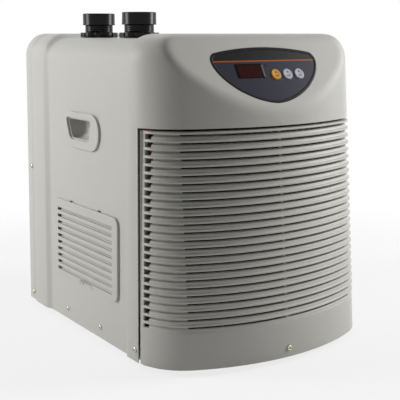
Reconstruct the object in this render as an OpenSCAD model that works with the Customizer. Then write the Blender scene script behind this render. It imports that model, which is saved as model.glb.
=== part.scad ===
/* [Body] */
// Width of the cabinet at its foot
body_w = 385; // [370:1:400]
// Depth from the foot of the bowed front to the rear face
body_d = 488; // [480:1:500]
// Height of the cabinet above its feet
body_h = 455; // [450:1:465]
// Height of the rubber feet
foot_h = 8; // [5:1:14]
// How far each side leans in from the foot to the top
side_lean = 7.8; // [6:0.2:10]
// Radius of the two top edges
top_r = 39; // [34:1:42]
// Thickness of the moulded casing walls
wall = 3; // [2.4:0.2:3.6]

/* [Bowed nose] */
// Depth of the nose in front of the side seam, at the foot
nose_d = 95.3; // [92:0.5:98]
// Radius of the bow across the front
bow_r = 345; // [335:1:360]
// Radius of the nose's two vertical corners
corner_r = 82; // [76:1:86]
// How far the nose leans back from the foot to the top
nose_lean = 30; // [26:1:33]
// Height of the fascia and brow above the grille
fascia_h = 125; // [122:1:129]
// Height of the plain skirt under the grille
skirt_h = 53.5; // [50:0.5:57]
// Tilt of the flat fascia back from upright, in degrees
fascia_tilt = 31; // [29:0.5:33]
// Distance of the fascia's top edge in front of the side seam
brow_d = 6.6; // [4:0.5:9]

/* [Casing steps] */
// Depth of the front shoulder behind the side seam
shoulder_d = 38.7; // [36:0.5:42]
// Length of the ramp up to the rear shoulder
ramp_l = 17; // [14:1:20]
// Depth of the rear shoulder between the ramp and the rear panel
rear_shoulder_d = 43; // [40:1:46]
// Depth of the rear panel behind its seam
rear_cap_d = 34.7; // [31:0.5:38]
// Depth of the recess in the side walls
side_step = 4.5; // [4.3:0.1:5]
// Depth of the recess in the top
top_step = 6.5; // [5.5:0.5:7.5]
// Width of the seam between casing and rear panel
rear_gap = 2; // [1.5:0.5:3]

/* [Front grille] */
// Number of fins across the front
fin_count = 25; // [22:1:26]
// Height of the plain band over the top fin
grille_crown = 3.5; // [3:0.5:5]
// Thickness of a fin
fin_t = 4.1; // [3.6:0.1:4.6]
// How far the fins stand proud of the fascia's line
fin_proud = 1.2; // [0.6:0.1:1.6]
// Depth of the wall behind the fins at the top of the grille
groove_top = 5.8; // [5:0.2:6.6]
// Depth of the wall behind the fins at the foot of the grille
groove_foot = 1; // [0.8:0.2:1.6]
// Height of the air slot under each fin
slot_h = 2.2; // [1.8:0.2:2.8]
// Distance from the middle to the far end of the air slots
slot_x = 148; // [140:1:152]
// Width of the rib down the middle of the grille
rib_w = 4; // [3:0.5:6]

/* [Control panel] */
// Width of the panel
panel_w = 186; // [182:1:190]
// Height of the panel along the slope
panel_h = 88; // [86:1:91]
// Distance from the fascia's top edge down to the panel
panel_drop = 22.2; // [20:0.5:25]
// Thickness of the panel plate
panel_t = 2; // [1.8:0.1:2.4]
// Diameter of the round buttons
button_d = 16.5; // [14:0.5:17]
// Distance from one button to the next
button_pitch = 21; // [20:0.5:22]
// Travel of a button
button_travel = 1; // [0.6:0.1:1.2]
// Width of the display window
window_w = 49; // [44:1:50]
// Height of the display window
window_h = 22.5; // [20:0.5:24]

/* [Side handles] */
// Length of the raised handle plate
handle_w = 114; // [108:1:118]
// Height of the raised handle plate
handle_h = 55; // [52:1:58]
// Length of the finger pocket along its top
pocket_w = 85; // [78:1:88]
// Height of the finger pocket
pocket_h = 32; // [28:1:34]
// Depth of the finger pocket behind the plate
pocket_d = 26; // [22:1:28]

/* [Side vents] */
// Distance from the front shoulder to the vent cover
vent_front_gap = 28.3; // [26:0.5:34]
// Distance from the vent cover to the ramp
vent_rear_gap = 16; // [14:0.5:20]
// Height of the vent cover
vent_h = 125; // [122:1:128]
// Number of louvres in the cover
louvre_count = 10; // [8:1:10]
// Distance from one louvre to the next
louvre_pitch = 10.8; // [10.4:0.1:11]
// How far a cover tilts out about its top tabs, in degrees
vent_open = 30; // [15:1:30]

/* [Water fittings] */
// Bore of the two water ports
port_bore_r = 15; // [12:0.5:16]
// Outer radius of the port's threaded neck
neck_r = 22; // [20:0.5:22.5]
// Radius of the flange that seats on the top
flange_r = 29.5; // [28:0.5:32]
// Outer radius of the union nut
nut_r = 25.5; // [25:0.5:28]
// Height of the union nut
nut_h = 18; // [15:0.5:20]
// Top of the union nuts above the cabinet's top line
nut_rise = 31; // [28:0.5:34]
// Distance of the fittings from the side of the cabinet's foot
port_side_gap = 80.5; // [77:0.5:84]
// Distance from the front shoulder to the front fitting
port_front_gap = 90.3; // [86:0.5:95]
// Distance from the rear fitting to the ramp
port_rear_gap = 41; // [38:0.5:45]

/* [Cooling system] */
// Radius of the exchanger barrel
barrel_r = 44; // [40:0.5:45]
// Radius of the compressor
comp_r = 60; // [52:1:64]
// Height of the compressor above its foot plate
comp_h = 165; // [150:1:180]
// Distance from the fan rotor to the edge of its shroud plate
rotor_gap = 26; // [24:1:34]
// Number of fan blades
blade_count = 7; // [5:1:9]
// Number of tube runs in the condenser
run_count = 8; // [6:2:8]
// Number of fin plates on the condenser
plate_count = 23; // [17:2:25]

/* [Hidden] */
$fn = 48;

// Clearances that every piece shares
seat = 0.3;
run = 0.05;
over = 1;
skin = 0.5;

// Derived places of the cabinet, measured from the side seam and from the cabinet's foot
seam_y = -body_d / 2 + nose_d;
rear_y = body_d - nose_d;
rear_seam_y = rear_y - rear_cap_d;
ramp_y1 = rear_seam_y - rear_shoulder_d;
ramp_y0 = ramp_y1 - ramp_l;
fascia_z = body_h - fascia_h;
fin_pitch = (fascia_z - skirt_h - grille_crown) / fin_count;
port_x = body_w / 2 - port_side_gap;
port_y0 = shoulder_d + port_front_gap;
port_pitch = ramp_y0 - port_rear_gap - port_y0;
lean_deg = atan(side_lean / body_h);
top_x = body_w / 2 - side_lean;
corner_y0 = -nose_d + bow_r - sqrt(pow(bow_r - corner_r, 2) - pow(body_w / 2 - corner_r, 2));
deck_z = body_h - top_step;
rear_inset = 2.8;
rear_round = 7;
seam_gap = 0.8;
bezel_wall = side_step - seat;
shoulder_gap = 0.4;
ramp_steps = 6;
arc_step = 9;
bow_steps = 8;
corner_steps = 6;

// Colours as the photograph shows them
shell_c = "#bfbeb9";
black_c = "#101012";
navy_c = "#2d2c3b";
steel_c = "#9a9c9e";
copper_c = "#b3713f";
nickel_c = "#b9b2a4";
white_c = "#e4e4e0";
green_c = "#2f5a3c";

// Half width of the cabinet at a height, with the rounded top edges of the given radius
function side_x(z) = body_w / 2 - side_lean * z / body_h;
function round_x(z, top, r) = z <= top - r ? side_x(z)
  : side_x(top - r) - r + sqrt(max(0, r * r - pow(z - top + r, 2)));

// Outline across the cabinet: drafted sides, rounded top edges
function section(in_s, in_t, foot) = let (
    r = top_r - in_s,
    cz = body_h - in_t - r,
    cx = side_x(cz) - in_s - r,
    half = concat([[side_x(foot) - in_s, foot]],
      [for (a = [0:arc_step:90]) [cx + r * cos(a), cz + r * sin(a)]]))
  concat(half, [for (i = [len(half) - 1:-1:0]) [-half[i].x, half[i].y]]);
function section_ring(y, in_s, in_t, foot) = [for (p = section(in_s, in_t, foot)) [p.x, y, p.y]];

// Outline of the bowed nose at a height, drawn in by an inset, closed at the back
function nose_y(z) = corner_y0 + nose_lean * z / body_h;
function nose_half(z, inset, back, top) = let (
    xc = round_x(z, top, top_r - inset) - corner_r,
    yc = nose_y(z),
    yb = yc + sqrt(pow(bow_r - corner_r, 2) - xc * xc),
    t1 = atan2(xc, yb - yc),
    big = bow_r - inset,
    small = corner_r - inset,
    t2 = acos((yc - min(yc, back - skin)) / small))
  concat([for (i = [0:bow_steps / 2]) let (t = t1 * 2 * i / bow_steps) [big * sin(t), yb - big * cos(t)]],
    [for (i = [1:corner_steps]) let (u = t1 + (t2 - t1) * i / corner_steps)
      [xc + small * sin(u), yc - small * cos(u)]]);
function nose(z, inset, back, top = body_h) = let (
    h = nose_half(z, inset, back, top),
    m = len(h) - 1)
  concat([for (i = [m:-1:1]) [-h[i].x, h[i].y]], h, [[h[m].x, back], [-h[m].x, back]]);
function nose_ring(z, inset, back, top) = [for (p = nose(z, inset, back, top)) [p.x, p.y, z]];
function nose_front(z, inset) = nose_half(z, inset, 0, body_h)[0].y;

// Rounded outlines
function box_outline(w, h, r) = [for (c = [[1, 1, 0], [-1, 1, 90], [-1, -1, 180], [1, -1, 270]])
  each [for (a = [0:15:90]) [c.x * (w / 2 - r) + r * cos(a + c[2]), c.y * (h / 2 - r) + r * sin(a + c[2])]]];
function unit(v) = v / norm(v);
function cut_corner(a, p, b, d, k) = let (
    s = p + d * unit(a - p),
    e = p + d * unit(b - p))
  [for (i = [0:k]) let (t = i / k) (1 - t) * (1 - t) * s + 2 * t * (1 - t) * p + t * t * e];
function soft_outline(p, d, k) = let (n = len(p))
  [for (i = [0:n - 1]) each cut_corner(p[(i + n - 1) % n], p[i], p[(i + 1) % n], d, k)];
function soft_path(p, d, k) = let (n = len(p)) concat([p[0]],
  [for (i = [1:n - 2]) each cut_corner(p[i - 1], p[i], p[i + 1], d, k)], [p[n - 1]]);

// Rings of a round tube along a path, turned as little as the path allows
function path_dirs(p) = [for (i = [0:len(p) - 1]) unit(p[min(i + 1, len(p) - 1)] - p[max(i - 1, 0)])];
function carried(ts, i, n) = i == len(ts) ? []
  : let (m = unit(n - (n * ts[i]) * ts[i])) concat([m], carried(ts, i + 1, m));
function tube_rings(p, r, k) = let (
    ts = path_dirs(p),
    ns = carried(ts, 0, abs(ts[0].z) < 0.9 ? [0, 0, 1] : [1, 0, 0]))
  [for (i = [0:len(p) - 1]) let (b = cross(ts[i], ns[i]))
    [for (j = [0:k - 1]) p[i] + r * (cos(360 * j / k) * ns[i] + sin(360 * j / k) * b)]];

// Solid through a row of outlines; each turns right-handed about the way the row runs
module loft(rings) {
  n = len(rings[0]);
  m = len(rings);
  sides = [for (i = [0:m - 2], j = [0:n - 1]) let (k = (j + 1) % n)
    [i * n + j, (i + 1) * n + j, (i + 1) * n + k, i * n + k]];
  first = [for (j = [0:n - 1]) j];
  last = [for (j = [n - 1:-1:0]) (m - 1) * n + j];
  polyhedron([for (ring = rings) each ring], concat([first], sides, [last]));
}
module tube(path, r, k = 10) {
  loft(tube_rings(path, r, k));
}
module ring(r_out, r_in, h) {
  difference() {
    cylinder(r = r_out, h = h);
    translate([0, 0, -over]) cylinder(r = r_in, h = h + 2 * over);
  }
}

// Local frames: the cabinet, its right or left side wall, and the flat fascia
module cabinet() {
  translate([0, seam_y, foot_h]) children();
}
// On a side wall x points out of the wall, y runs to the rear and z up the wall
module on_side(left) {
  mirror([left ? 1 : 0, 0, 0]) translate([body_w / 2, 0, 0]) rotate([0, -lean_deg, 0]) children();
}
// Extrudes a y-z outline outwards from x0 to x1
module slab(x0, x1) {
  translate([x0, 0, 0]) rotate([90, 0, 90]) linear_extrude(x1 - x0) children();
}
// On the fascia x runs across, y up the slope from its top edge, and z out of it
module on_fascia() {
  translate([0, -brow_d, body_h]) rotate([90 - fascia_tilt, 0, 0]) children();
}
module along_y(y0, y1, r) {
  translate([0, y0, 0]) rotate([-90, 0, 0]) cylinder(r = r, h = y1 - y0);
}

// The nose as one closed solid, with its flat fascia
module nose_solid(inset, foot, back) {
  top = body_h - inset;
  r = top_r - inset;
  levels = concat([foot, top - r], [for (a = [18:18:72]) top - r + r * sin(a)], [top]);
  difference() {
    loft([for (z = levels) nose_ring(z, inset, back, top)]);
    on_fascia() translate([-body_w, -body_h, -inset]) cube([2 * body_w, 2 * body_h, body_h]);
  }
}

// Places on the side walls
screw_z = 17;
screw_front = 12.8;
screw_pitch = (ramp_y0 - screw_front) * 0.397;
screw_ys = [screw_front, screw_front + screw_pitch, screw_front + 2 * screw_pitch];
rear_screw_gap = 14;
rear_screw_y = rear_seam_y + rear_screw_gap;
rear_screw_zs = [13.4, 234];
screw_head_r = 4;
screw_flat_r = 2.8;
screw_head_h = 2.2;
screw_shank_r = 1.9;
screw_l = 11;
screw_hole_r = screw_shank_r + seat;
module side_hole(y, z) {
  translate([-3 * screw_l, y, z]) rotate([0, 90, 0]) rotate([0, 0, 45]) cylinder(r = screw_hole_r, h = 4 * screw_l, $fn = 24);
}
module both_sides() {
  for (left = [false, true]) on_side(left) children();
}

/* Base pan: a folded steel tray that carries everything */
pan_t = 2;
pan_inset = side_step + wall + 2 * seat;
pan_flange = 24;
pan_back = rear_y - wall - rear_round - seat;
module base_pan() {
  color(steel_c) cabinet() difference() {
    linear_extrude(pan_flange) polygon(nose(0, pan_inset, pan_back));
    translate([0, 0, pan_t]) linear_extrude(pan_flange) polygon(nose(0, pan_inset + pan_t, pan_back - pan_t));
    both_sides() for (y = screw_ys) side_hole(y, screw_z);
    both_sides() side_hole(rear_screw_y, rear_screw_zs[0]);
    for (p = comp_bolt_places) translate([p.x, p.y, -over]) cylinder(r = bolt_r + seat, h = pan_t + 2 * over);
    for (p = foot_places) translate([p.x, p.y, -over]) cylinder(r = foot_peg_r + seat, h = pan_t + 2 * over);
  }
}

/* Feet: four rubber pads with a peg up through the pan */
foot_r = 16;
foot_peg_r = 4;
foot_inset = 57.5;
foot_back = 47.7;
foot_y0 = -10;
foot_x = body_w / 2 - foot_inset;
foot_y1 = rear_y - foot_back;
foot_places = [for (x = [-foot_x, foot_x], y = [foot_y0, foot_y1]) [x, y]];
module feet() {
  color(black_c) cabinet() for (p = foot_places) translate([p.x, p.y, -foot_h]) {
    cylinder(r = foot_r, h = foot_h);
    cylinder(r = foot_peg_r, h = foot_h + pan_t + seat);
  }
}

/* Control panel: a half-moon plate let into the fascia */
panel_side_drop = 21.8;
panel_corner_drop = 7.5;
panel_corner_x = 80;
panel_fullness = 1.68;
panel_sunk = 1.5;
panel_arch_share = 0.97;
button_drop = 43.8;
button_x0 = 10.5;
button_r = button_d / 2;
button_proud = 1.2;
button_rim = 1.5;
button_rim_t = 1.4;
stem_r = 2.5;
stem_l = 4;
window_x = -32;
window_drop = 37.2;
window_lip = 2;
window_r = 1.5;
led_r = 1.6;
led_x = -2;
led_drop = 28.8;
board_t = 1.6;
board_w = 150;
board_h = 46;
board_drop = 40;
board_z = -(bezel_wall + button_rim_t + seat + stem_l + button_travel + seat);
boss_r = 4;
boss_inset = 6;
function panel_outline(grow) = let (
    a = panel_w / 2,
    b = panel_h - panel_side_drop,
    arch = (panel_corner_x * panel_corner_x + panel_corner_drop * panel_corner_drop) / (2 * panel_corner_drop),
    t1 = asin(panel_corner_x * panel_arch_share / arch),
    full = 2 / panel_fullness,
    low = [for (t = [180:6:360]) [a * sign(cos(t)) * pow(abs(cos(t)), full),
      -panel_drop - panel_side_drop - b * pow(abs(sin(t)), full)]],
    shoulder = [for (t = [20:20:60]) [panel_corner_x + (a - panel_corner_x) * cos(t),
      -panel_drop - panel_side_drop + (panel_side_drop - panel_corner_drop) * sin(t)]],
    high = [for (t = [1:-0.2:-1]) [arch * sin(t * t1), -panel_drop - arch + arch * cos(t * t1)]],
    other = [for (i = [len(shoulder) - 1:-1:0]) [-shoulder[i].x, shoulder[i].y]],
    line = concat(low, shoulder, high, other),
    mid = [0, -panel_drop - panel_h / 2])
  [for (p = line) p + grow * unit(p - mid)];
module button_places() {
  for (i = [0:2]) translate([button_x0 + i * button_pitch, -panel_drop - button_drop, 0]) children();
}
module window_shape(lip) {
  translate([window_x, -panel_drop - window_drop])
    polygon(box_outline(window_w - 2 * lip, window_h - 2 * lip, window_r));
}
module board_places() {
  for (x = [-1, 1], y = [-1, 1])
    translate([x * (board_w / 2 - boss_inset), -panel_drop - board_drop + y * (board_h / 2 - boss_inset), 0])
      children();
}
module control_panel() {
  color(navy_c) cabinet() on_fascia() difference() {
    translate([0, 0, -panel_sunk + seat / 2]) linear_extrude(panel_t) polygon(panel_outline(0));
    translate([0, 0, -panel_sunk - over]) linear_extrude(panel_t + 3 * over) window_shape(0);
    button_places() translate([0, 0, -panel_sunk - over]) cylinder(r = button_r + seat, h = panel_t + 3 * over);
    translate([led_x, -panel_drop - led_drop, -panel_sunk - over]) cylinder(r = led_r + seat, h = panel_t + 3 * over);
  }
}
module display_window() {
  color("#1d0507") cabinet() on_fascia() translate([window_x, -panel_drop - window_drop, -panel_sunk + seat / 2])
    linear_extrude(panel_t) polygon(box_outline(window_w - 2 * seat, window_h - 2 * seat, window_r));
}
module status_led() {
  color("#331012") cabinet() on_fascia() translate([led_x, -panel_drop - led_drop, board_z + seat])
    cylinder(r = led_r, h = -board_z - seat + skin, $fn = 24);
}
module push_button(i) {
  on_fascia() translate([button_x0 + i * button_pitch, -panel_drop - button_drop, 0]) {
    translate([0, 0, -bezel_wall - seat]) cylinder(r = button_r, h = bezel_wall + seat + button_proud + skin);
    translate([0, 0, -bezel_wall - seat - button_rim_t]) cylinder(r = button_r + button_rim, h = button_rim_t);
    translate([0, 0, -bezel_wall - seat - button_rim_t - stem_l]) cylinder(r = stem_r, h = stem_l + skin);
  }
}
module set_button() { color("#d9a02c") cabinet() push_button(0); }
module up_button() { color("#b9bac6") cabinet() push_button(1); }
module down_button() { color("#b9bac6") cabinet() push_button(2); }
module display_board() {
  color(green_c) cabinet() on_fascia() difference() {
    translate([-board_w / 2, -panel_drop - board_drop - board_h / 2, board_z - board_t])
      cube([board_w, board_h, board_t]);
    board_places() translate([0, 0, board_z - board_t - over]) cylinder(r = screw_shank_r, h = board_t + 2 * over);
  }
}

/* Front bezel: the fascia and the two front shoulders in one moulding */
module front_bezel() {
  color(shell_c) cabinet() {
    difference() {
      nose_solid(0, 0, shoulder_d);
      nose_solid(bezel_wall, -over, shoulder_d + over);
      translate([-body_w, -body_d, -over]) cube([2 * body_w, body_d, fascia_z + over]);
      on_fascia() translate([0, 0, -panel_sunk]) linear_extrude(body_h) polygon(panel_outline(seat));
      on_fascia() translate([0, 0, -2 * bezel_wall]) linear_extrude(body_h) window_shape(window_lip);
      on_fascia() button_places() translate([0, 0, -2 * bezel_wall])
        cylinder(r = button_r + seat, h = 3 * bezel_wall);
      on_fascia() translate([led_x, -panel_drop - led_drop, -2 * bezel_wall])
        cylinder(r = led_r + seat, h = 3 * bezel_wall);
      both_sides() side_hole(screw_ys[0], screw_z);
    }
    on_fascia() board_places() translate([0, 0, board_z + seat])
      cylinder(r = boss_r, h = -board_z - seat - bezel_wall + skin);
  }
}

/* Main casing: an inverted U, recessed between the front and rear shoulders */
hatch_lip = 8;
slit_w = 10.6;
slit_rise = 2;
vent_y = shoulder_d + vent_front_gap;
vent_w = ramp_y0 - vent_rear_gap - vent_y;
vent_z = 70;
vent_top = vent_z + vent_h;
tab_pitch = 95;
tab_ys = [vent_y + vent_w / 2 - tab_pitch / 2, vent_y + vent_w / 2 + tab_pitch / 2];
tab_w = 9.6;
module hatch_shape() {
  translate([vent_y + vent_w / 2, vent_z + vent_h / 2])
    polygon(box_outline(vent_w - 2 * hatch_lip, vent_h - 2 * hatch_lip + hatch_lip / 2, hatch_lip));
  for (y = tab_ys) translate([y - slit_w / 2, vent_top - 3 * hatch_lip]) square([slit_w, 3 * hatch_lip + slit_rise]);
}
handle_shift = 12.65;
handle_drop = 145.5;
handle_y = (shoulder_d + ramp_y0) / 2 + handle_shift;
handle_z = body_h - handle_drop;
handle_r = 25;
pocket_back = 8.5;
pocket_up = 1.5;
pocket_y = handle_y + pocket_back;
pocket_z = handle_z + pocket_up;
pocket_slant = 14;
pocket_round = 9;
cup_wall = 2;
function pocket_outline(grow) = let (
    w = pocket_w / 2 + grow,
    h = pocket_h / 2 + grow)
  soft_outline([[pocket_y - w, pocket_z + h], [pocket_y - w + pocket_slant, pocket_z - h],
    [pocket_y + w - pocket_slant, pocket_z - h], [pocket_y + w, pocket_z + h]], pocket_round, 4);
function ease(t) = t * t * (3 - 2 * t);
casing_stations = concat([[rear_seam_y, 0]],
  [for (i = [ramp_steps:-1:0]) [ramp_y0 + (ramp_y1 - ramp_y0) * i / ramp_steps, 1 - ease(i / ramp_steps)]]);
lug_root = 12;
lug_edge = 8;
lug_h = 26;
lug_t = 3;
lug_in = rear_inset + wall + seat + lug_t;
pad_t = 5;
pad_gap = 12;
rail_t = 2;
rail_w = 6;
pad_front = -side_step - wall - pad_gap;
// A rail that holds one upright edge of a filter pad behind its hatch
module pad_rail(s) {
  edge = vent_y + vent_w / 2 + s * vent_w / 2;
  y0 = s < 0 ? edge - seat - rail_t : edge - rail_w;
  difference() {
    translate([pad_front - pad_t - seat - rail_t, y0, vent_z - seat - rail_t])
      cube([pad_gap + pad_t + seat + rail_t + skin, rail_w + seat + rail_t, vent_h + rail_t]);
    translate([pad_front - pad_t - seat, vent_y - seat, vent_z - seat])
      cube([pad_t + 2 * seat, vent_w + 2 * seat, 2 * vent_h]);
  }
}
module main_casing() {
  front = shoulder_d + shoulder_gap;
  color(shell_c) cabinet() {
    difference() {
      loft(concat([for (s = casing_stations) section_ring(s[0], s[1] * side_step, s[1] * top_step, 0)],
        [section_ring(front, side_step, top_step, 0)]));
      loft(concat([section_ring(rear_seam_y + over, wall, wall, -over)],
        [for (s = casing_stations) section_ring(s[0] - wall / 4, wall + s[1] * side_step, wall + s[1] * top_step, -over)],
        [section_ring(front - over, wall + side_step, wall + top_step, -over)]));
      both_sides() slab(-3 * wall - side_step, over) hatch_shape();
      both_sides() slab(-3 * wall - side_step, over) polygon(pocket_outline(cup_wall + seat));
      both_sides() for (y = [screw_ys[1], screw_ys[2]]) side_hole(y, screw_z);
      for (y = [port_y0, port_y0 + port_pitch]) translate([-port_x, y, deck_z - 2 * wall])
        cylinder(r = neck_r + seat, h = 4 * wall);
    }
    both_sides() for (s = [-1, 1]) pad_rail(s);
    both_sides() difference() {
      translate([-lug_in, rear_seam_y - lug_root, rear_screw_zs[1] - lug_h / 2]) {
        cube([lug_t, lug_root + rear_screw_gap + lug_edge, lug_h]);
        cube([lug_in - wall + skin, lug_root - seat, lug_h]);
      }
      side_hole(rear_screw_y, rear_screw_zs[1]);
    }
  }
}

/* Rear panel: a shallow tray with exhaust louvres and the mains socket */
exhaust_w = 200;
exhaust_h = 5;
exhaust_pitch = 13;
exhaust_count = 16;
exhaust_drop = 325;
exhaust_z = body_h - exhaust_drop;
socket_x = 105;
socket_z = 62;
socket_w = 28;
socket_h = 21;
socket_d = 17;
socket_wall = 2;
socket_flange = 5;
rear_front = rear_seam_y + rear_gap;
module rear_panel() {
  color(shell_c) cabinet() difference() {
    loft([section_ring(rear_y, rear_inset + rear_round, rear_round, rear_round / 2),
      section_ring(rear_y - rear_round / 4, rear_inset + rear_round / 3, rear_round / 3, rear_round / 8),
      section_ring(rear_y - rear_round, rear_inset, 0, 0),
      section_ring(rear_front, rear_inset, 0, 0)]);
    loft([section_ring(rear_y - wall, rear_inset + rear_round + wall, rear_round + wall, rear_round / 2 + wall),
      section_ring(rear_y - wall - rear_round, rear_inset + wall, wall, -over),
      section_ring(rear_front - over, rear_inset + wall, wall, -over)]);
    for (i = [0:exhaust_count - 1], s = [-1, 1])
      translate([s * (exhaust_w / 4 + wall / 2) - exhaust_w / 4, rear_y - 2 * wall, exhaust_z + i * exhaust_pitch])
        cube([exhaust_w / 2 - wall, 3 * wall, exhaust_h]);
    translate([socket_x - socket_w / 2 - seat, rear_y - 2 * wall, socket_z - socket_h / 2 - seat])
      cube([socket_w + 2 * seat, 3 * wall, socket_h + 2 * seat]);
    both_sides() for (z = rear_screw_zs) side_hole(rear_screw_y, z);
  }
}

/* Front grille: fins over a leaning wall with air slots, and the plain skirt below */
grille_top = fascia_z - seam_gap;
fin_z0 = skirt_h + fin_pitch - fin_t;
gap_h = fin_pitch - fin_t;
strip_d = 5;
cell_d = 9;
function groove(z) = groove_foot + (groove_top - groove_foot) * (z - skirt_h) / (fascia_z - skirt_h);
module skirt_ring(z0, z1, a0, a1, t, front) {
  difference() {
    loft([nose_ring(z0, a0, front, body_h), nose_ring(z1, a1, front, body_h)]);
    loft([nose_ring(z0 - over, a0 + t, front + over, body_h), nose_ring(z1 + over, a1 + t, front + over, body_h)]);
  }
}
module grille_fin(z) {
  translate([0, 0, z]) linear_extrude(fin_t) difference() {
    polygon(nose(z, -fin_proud, -seam_gap));
    polygon(nose(z, groove(z) + wall / 2, over));
  }
}
module grille_wall() {
  difference() {
    skirt_ring(skirt_h, grille_top, groove_foot, groove(grille_top), wall, -seam_gap);
    for (i = [0:fin_count - 1]) {
      top = fin_z0 + i * fin_pitch;
      for (s = [-1, 1])
        translate([s * (slot_x / 2 + rib_w / 4) - slot_x / 2 + rib_w / 4, -nose_d - body_d / 4, top - slot_h])
          cube([slot_x - rib_w / 2, nose_d + body_d / 4 - strip_d, slot_h - skin / 4]);
      low = fin_z0 + (i - 1) * fin_pitch + fin_t;
      translate([-body_w, -strip_d - cell_d, low + skin])
        cube([2 * body_w, cell_d, gap_h - 2 * skin]);
    }
  }
}
module front_grille() {
  color(shell_c) cabinet() difference() {
    union() {
      skirt_ring(0, skirt_h + fin_t / 2, 0, 0, wall, -seam_gap);
      grille_wall();
      for (i = [0:fin_count - 1]) grille_fin(fin_z0 + i * fin_pitch);
      intersection() {
        skirt_ring(skirt_h, grille_top, 0, 0, 2 * wall, -seam_gap);
        translate([-body_w, -strip_d, 0]) cube([2 * body_w, body_d, body_h]);
      }
    }
    translate([0, -nose_d - over, grille_screw_z]) along_y(0, 8 * wall, screw_hole_r);
  }
}
grille_screw_z = 13.6;

/* Front filter: a thin bowed mesh just behind the grille */
filter_t = 2;
filter_z0 = skirt_h + fin_pitch;
filter_z1 = fascia_z - 2 * fin_pitch;
module front_filter() {
  color("#2b2b2c") cabinet() difference() {
    loft([nose_ring(filter_z0, groove(filter_z0) + wall + 2 * seat, -strip_d - cell_d, body_h),
      nose_ring(filter_z1, groove(filter_z1) + wall + 2 * seat, -strip_d - cell_d, body_h)]);
    loft([nose_ring(filter_z0 - over, groove(filter_z0) + wall + 2 * seat + filter_t, 0, body_h),
      nose_ring(filter_z1 + over, groove(filter_z1) + wall + 2 * seat + filter_t, 0, body_h)]);
  }
}

/* Side handles: a raised plate with a finger cup behind it */
plate_back = -side_step + seat;
plate_front = -0.8;
module handle(left) {
  color(shell_c) cabinet() on_side(left) difference() {
    union() {
      slab(plate_back, plate_front) translate([handle_y, handle_z])
        polygon(box_outline(handle_w, handle_h, handle_r));
      slab(plate_back - pocket_d, plate_front - skin) polygon(pocket_outline(cup_wall));
    }
    slab(plate_back - pocket_d + cup_wall, over) polygon(pocket_outline(0));
  }
}
module handle_left() { handle(true); }
module handle_right() { handle(false); }

/* Side vent covers: louvred hatches that hang on two tabs */
vent_r = 12;
louvre_inset = 16;
louvre_y0 = vent_y + louvre_inset;
louvre_w = vent_w - 2 * louvre_inset;
louvre_h = 5;
louvre_z0 = 79;
louvre_cell = 9;
blade_w = 6.5;
blade_t = 1.4;
blade_deg = 38;
arm_t = 2;
hook_t = 1.5;
hook_h = 6;
latch_shift = 11;
latch_y = vent_y + vent_w / 2 - latch_shift;
latch_w = 43;
latch_slit = 1.2;
latch_h = 9;
module vent_cover(left) {
  color(shell_c) cabinet() on_side(left) {
    difference() {
      slab(plate_back, plate_front) translate([vent_y + vent_w / 2, vent_z + vent_h / 2])
        polygon(box_outline(vent_w, vent_h, vent_r));
      for (i = [0:louvre_count - 1]) slab(plate_back - over, plate_front + over)
        translate([louvre_y0, louvre_z0 + i * louvre_pitch]) square([louvre_w, louvre_h]);
      for (s = [-1, 1]) slab(plate_back - over, plate_front + over)
        translate([latch_y + s * latch_w / 2 - latch_slit / 2, vent_z - over]) square([latch_slit, latch_h + over]);
    }
    for (i = [0:louvre_count - 1]) translate([plate_back + blade_t, louvre_y0 - skin, louvre_z0 + i * louvre_pitch - blade_t / 2])
      rotate([0, 180 + blade_deg, 0]) translate([0, 0, -blade_t])
        cube([blade_w, louvre_w - louvre_cell + skin, blade_t]);
    for (y = tab_ys) {
      translate([-side_step - wall - seat - hook_t, y - tab_w / 2, vent_top - 2 * arm_t])
        cube([wall + 2 * seat + hook_t + skin, tab_w, arm_t]);
      translate([-side_step - wall - seat - hook_t, y - tab_w / 2, vent_top - 2 * arm_t])
        cube([hook_t, tab_w, 2 * arm_t + hook_h]);
    }
  }
}
module vent_cover_left() { vent_cover(true); }
module vent_cover_right() { vent_cover(false); }

/* Vent filters: foam pads that rest in a frame behind each hatch */
module vent_filter(left) {
  color("#3a3a3c") cabinet() on_side(left)
    slab(pad_front - pad_t, pad_front)
      translate([vent_y + vent_w / 2, vent_z + vent_h / 2]) square([vent_w, vent_h], center = true);
}
module vent_filter_left() { vent_filter(true); }
module vent_filter_right() { vent_filter(false); }

/* Screws: pan heads with a plain shank */
module pan_screw(x, l) {
  translate([x, 0, 0]) rotate([0, 90, 0]) {
    cylinder(r1 = screw_head_r, r2 = screw_flat_r, h = screw_head_h);
    translate([0, 0, -l]) cylinder(r = screw_shank_r, h = l + skin);
  }
}
module side_screws() {
  color(nickel_c) cabinet() both_sides() {
    translate([0, screw_ys[0], screw_z]) pan_screw(seat / 2, screw_l);
    for (y = [screw_ys[1], screw_ys[2]]) translate([0, y, screw_z]) pan_screw(-side_step + seat / 2, screw_l);
  }
}
module rear_screws() {
  color(nickel_c) cabinet() both_sides() for (z = rear_screw_zs)
    translate([0, rear_screw_y, z]) pan_screw(-rear_inset + seat / 2, screw_l);
}
module grille_screw() {
  y = nose_front(grille_screw_z, 0);
  color(nickel_c) cabinet() translate([0, y, grille_screw_z]) rotate([0, 0, -90]) pan_screw(seat + run, 2 * wall);
}

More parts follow.
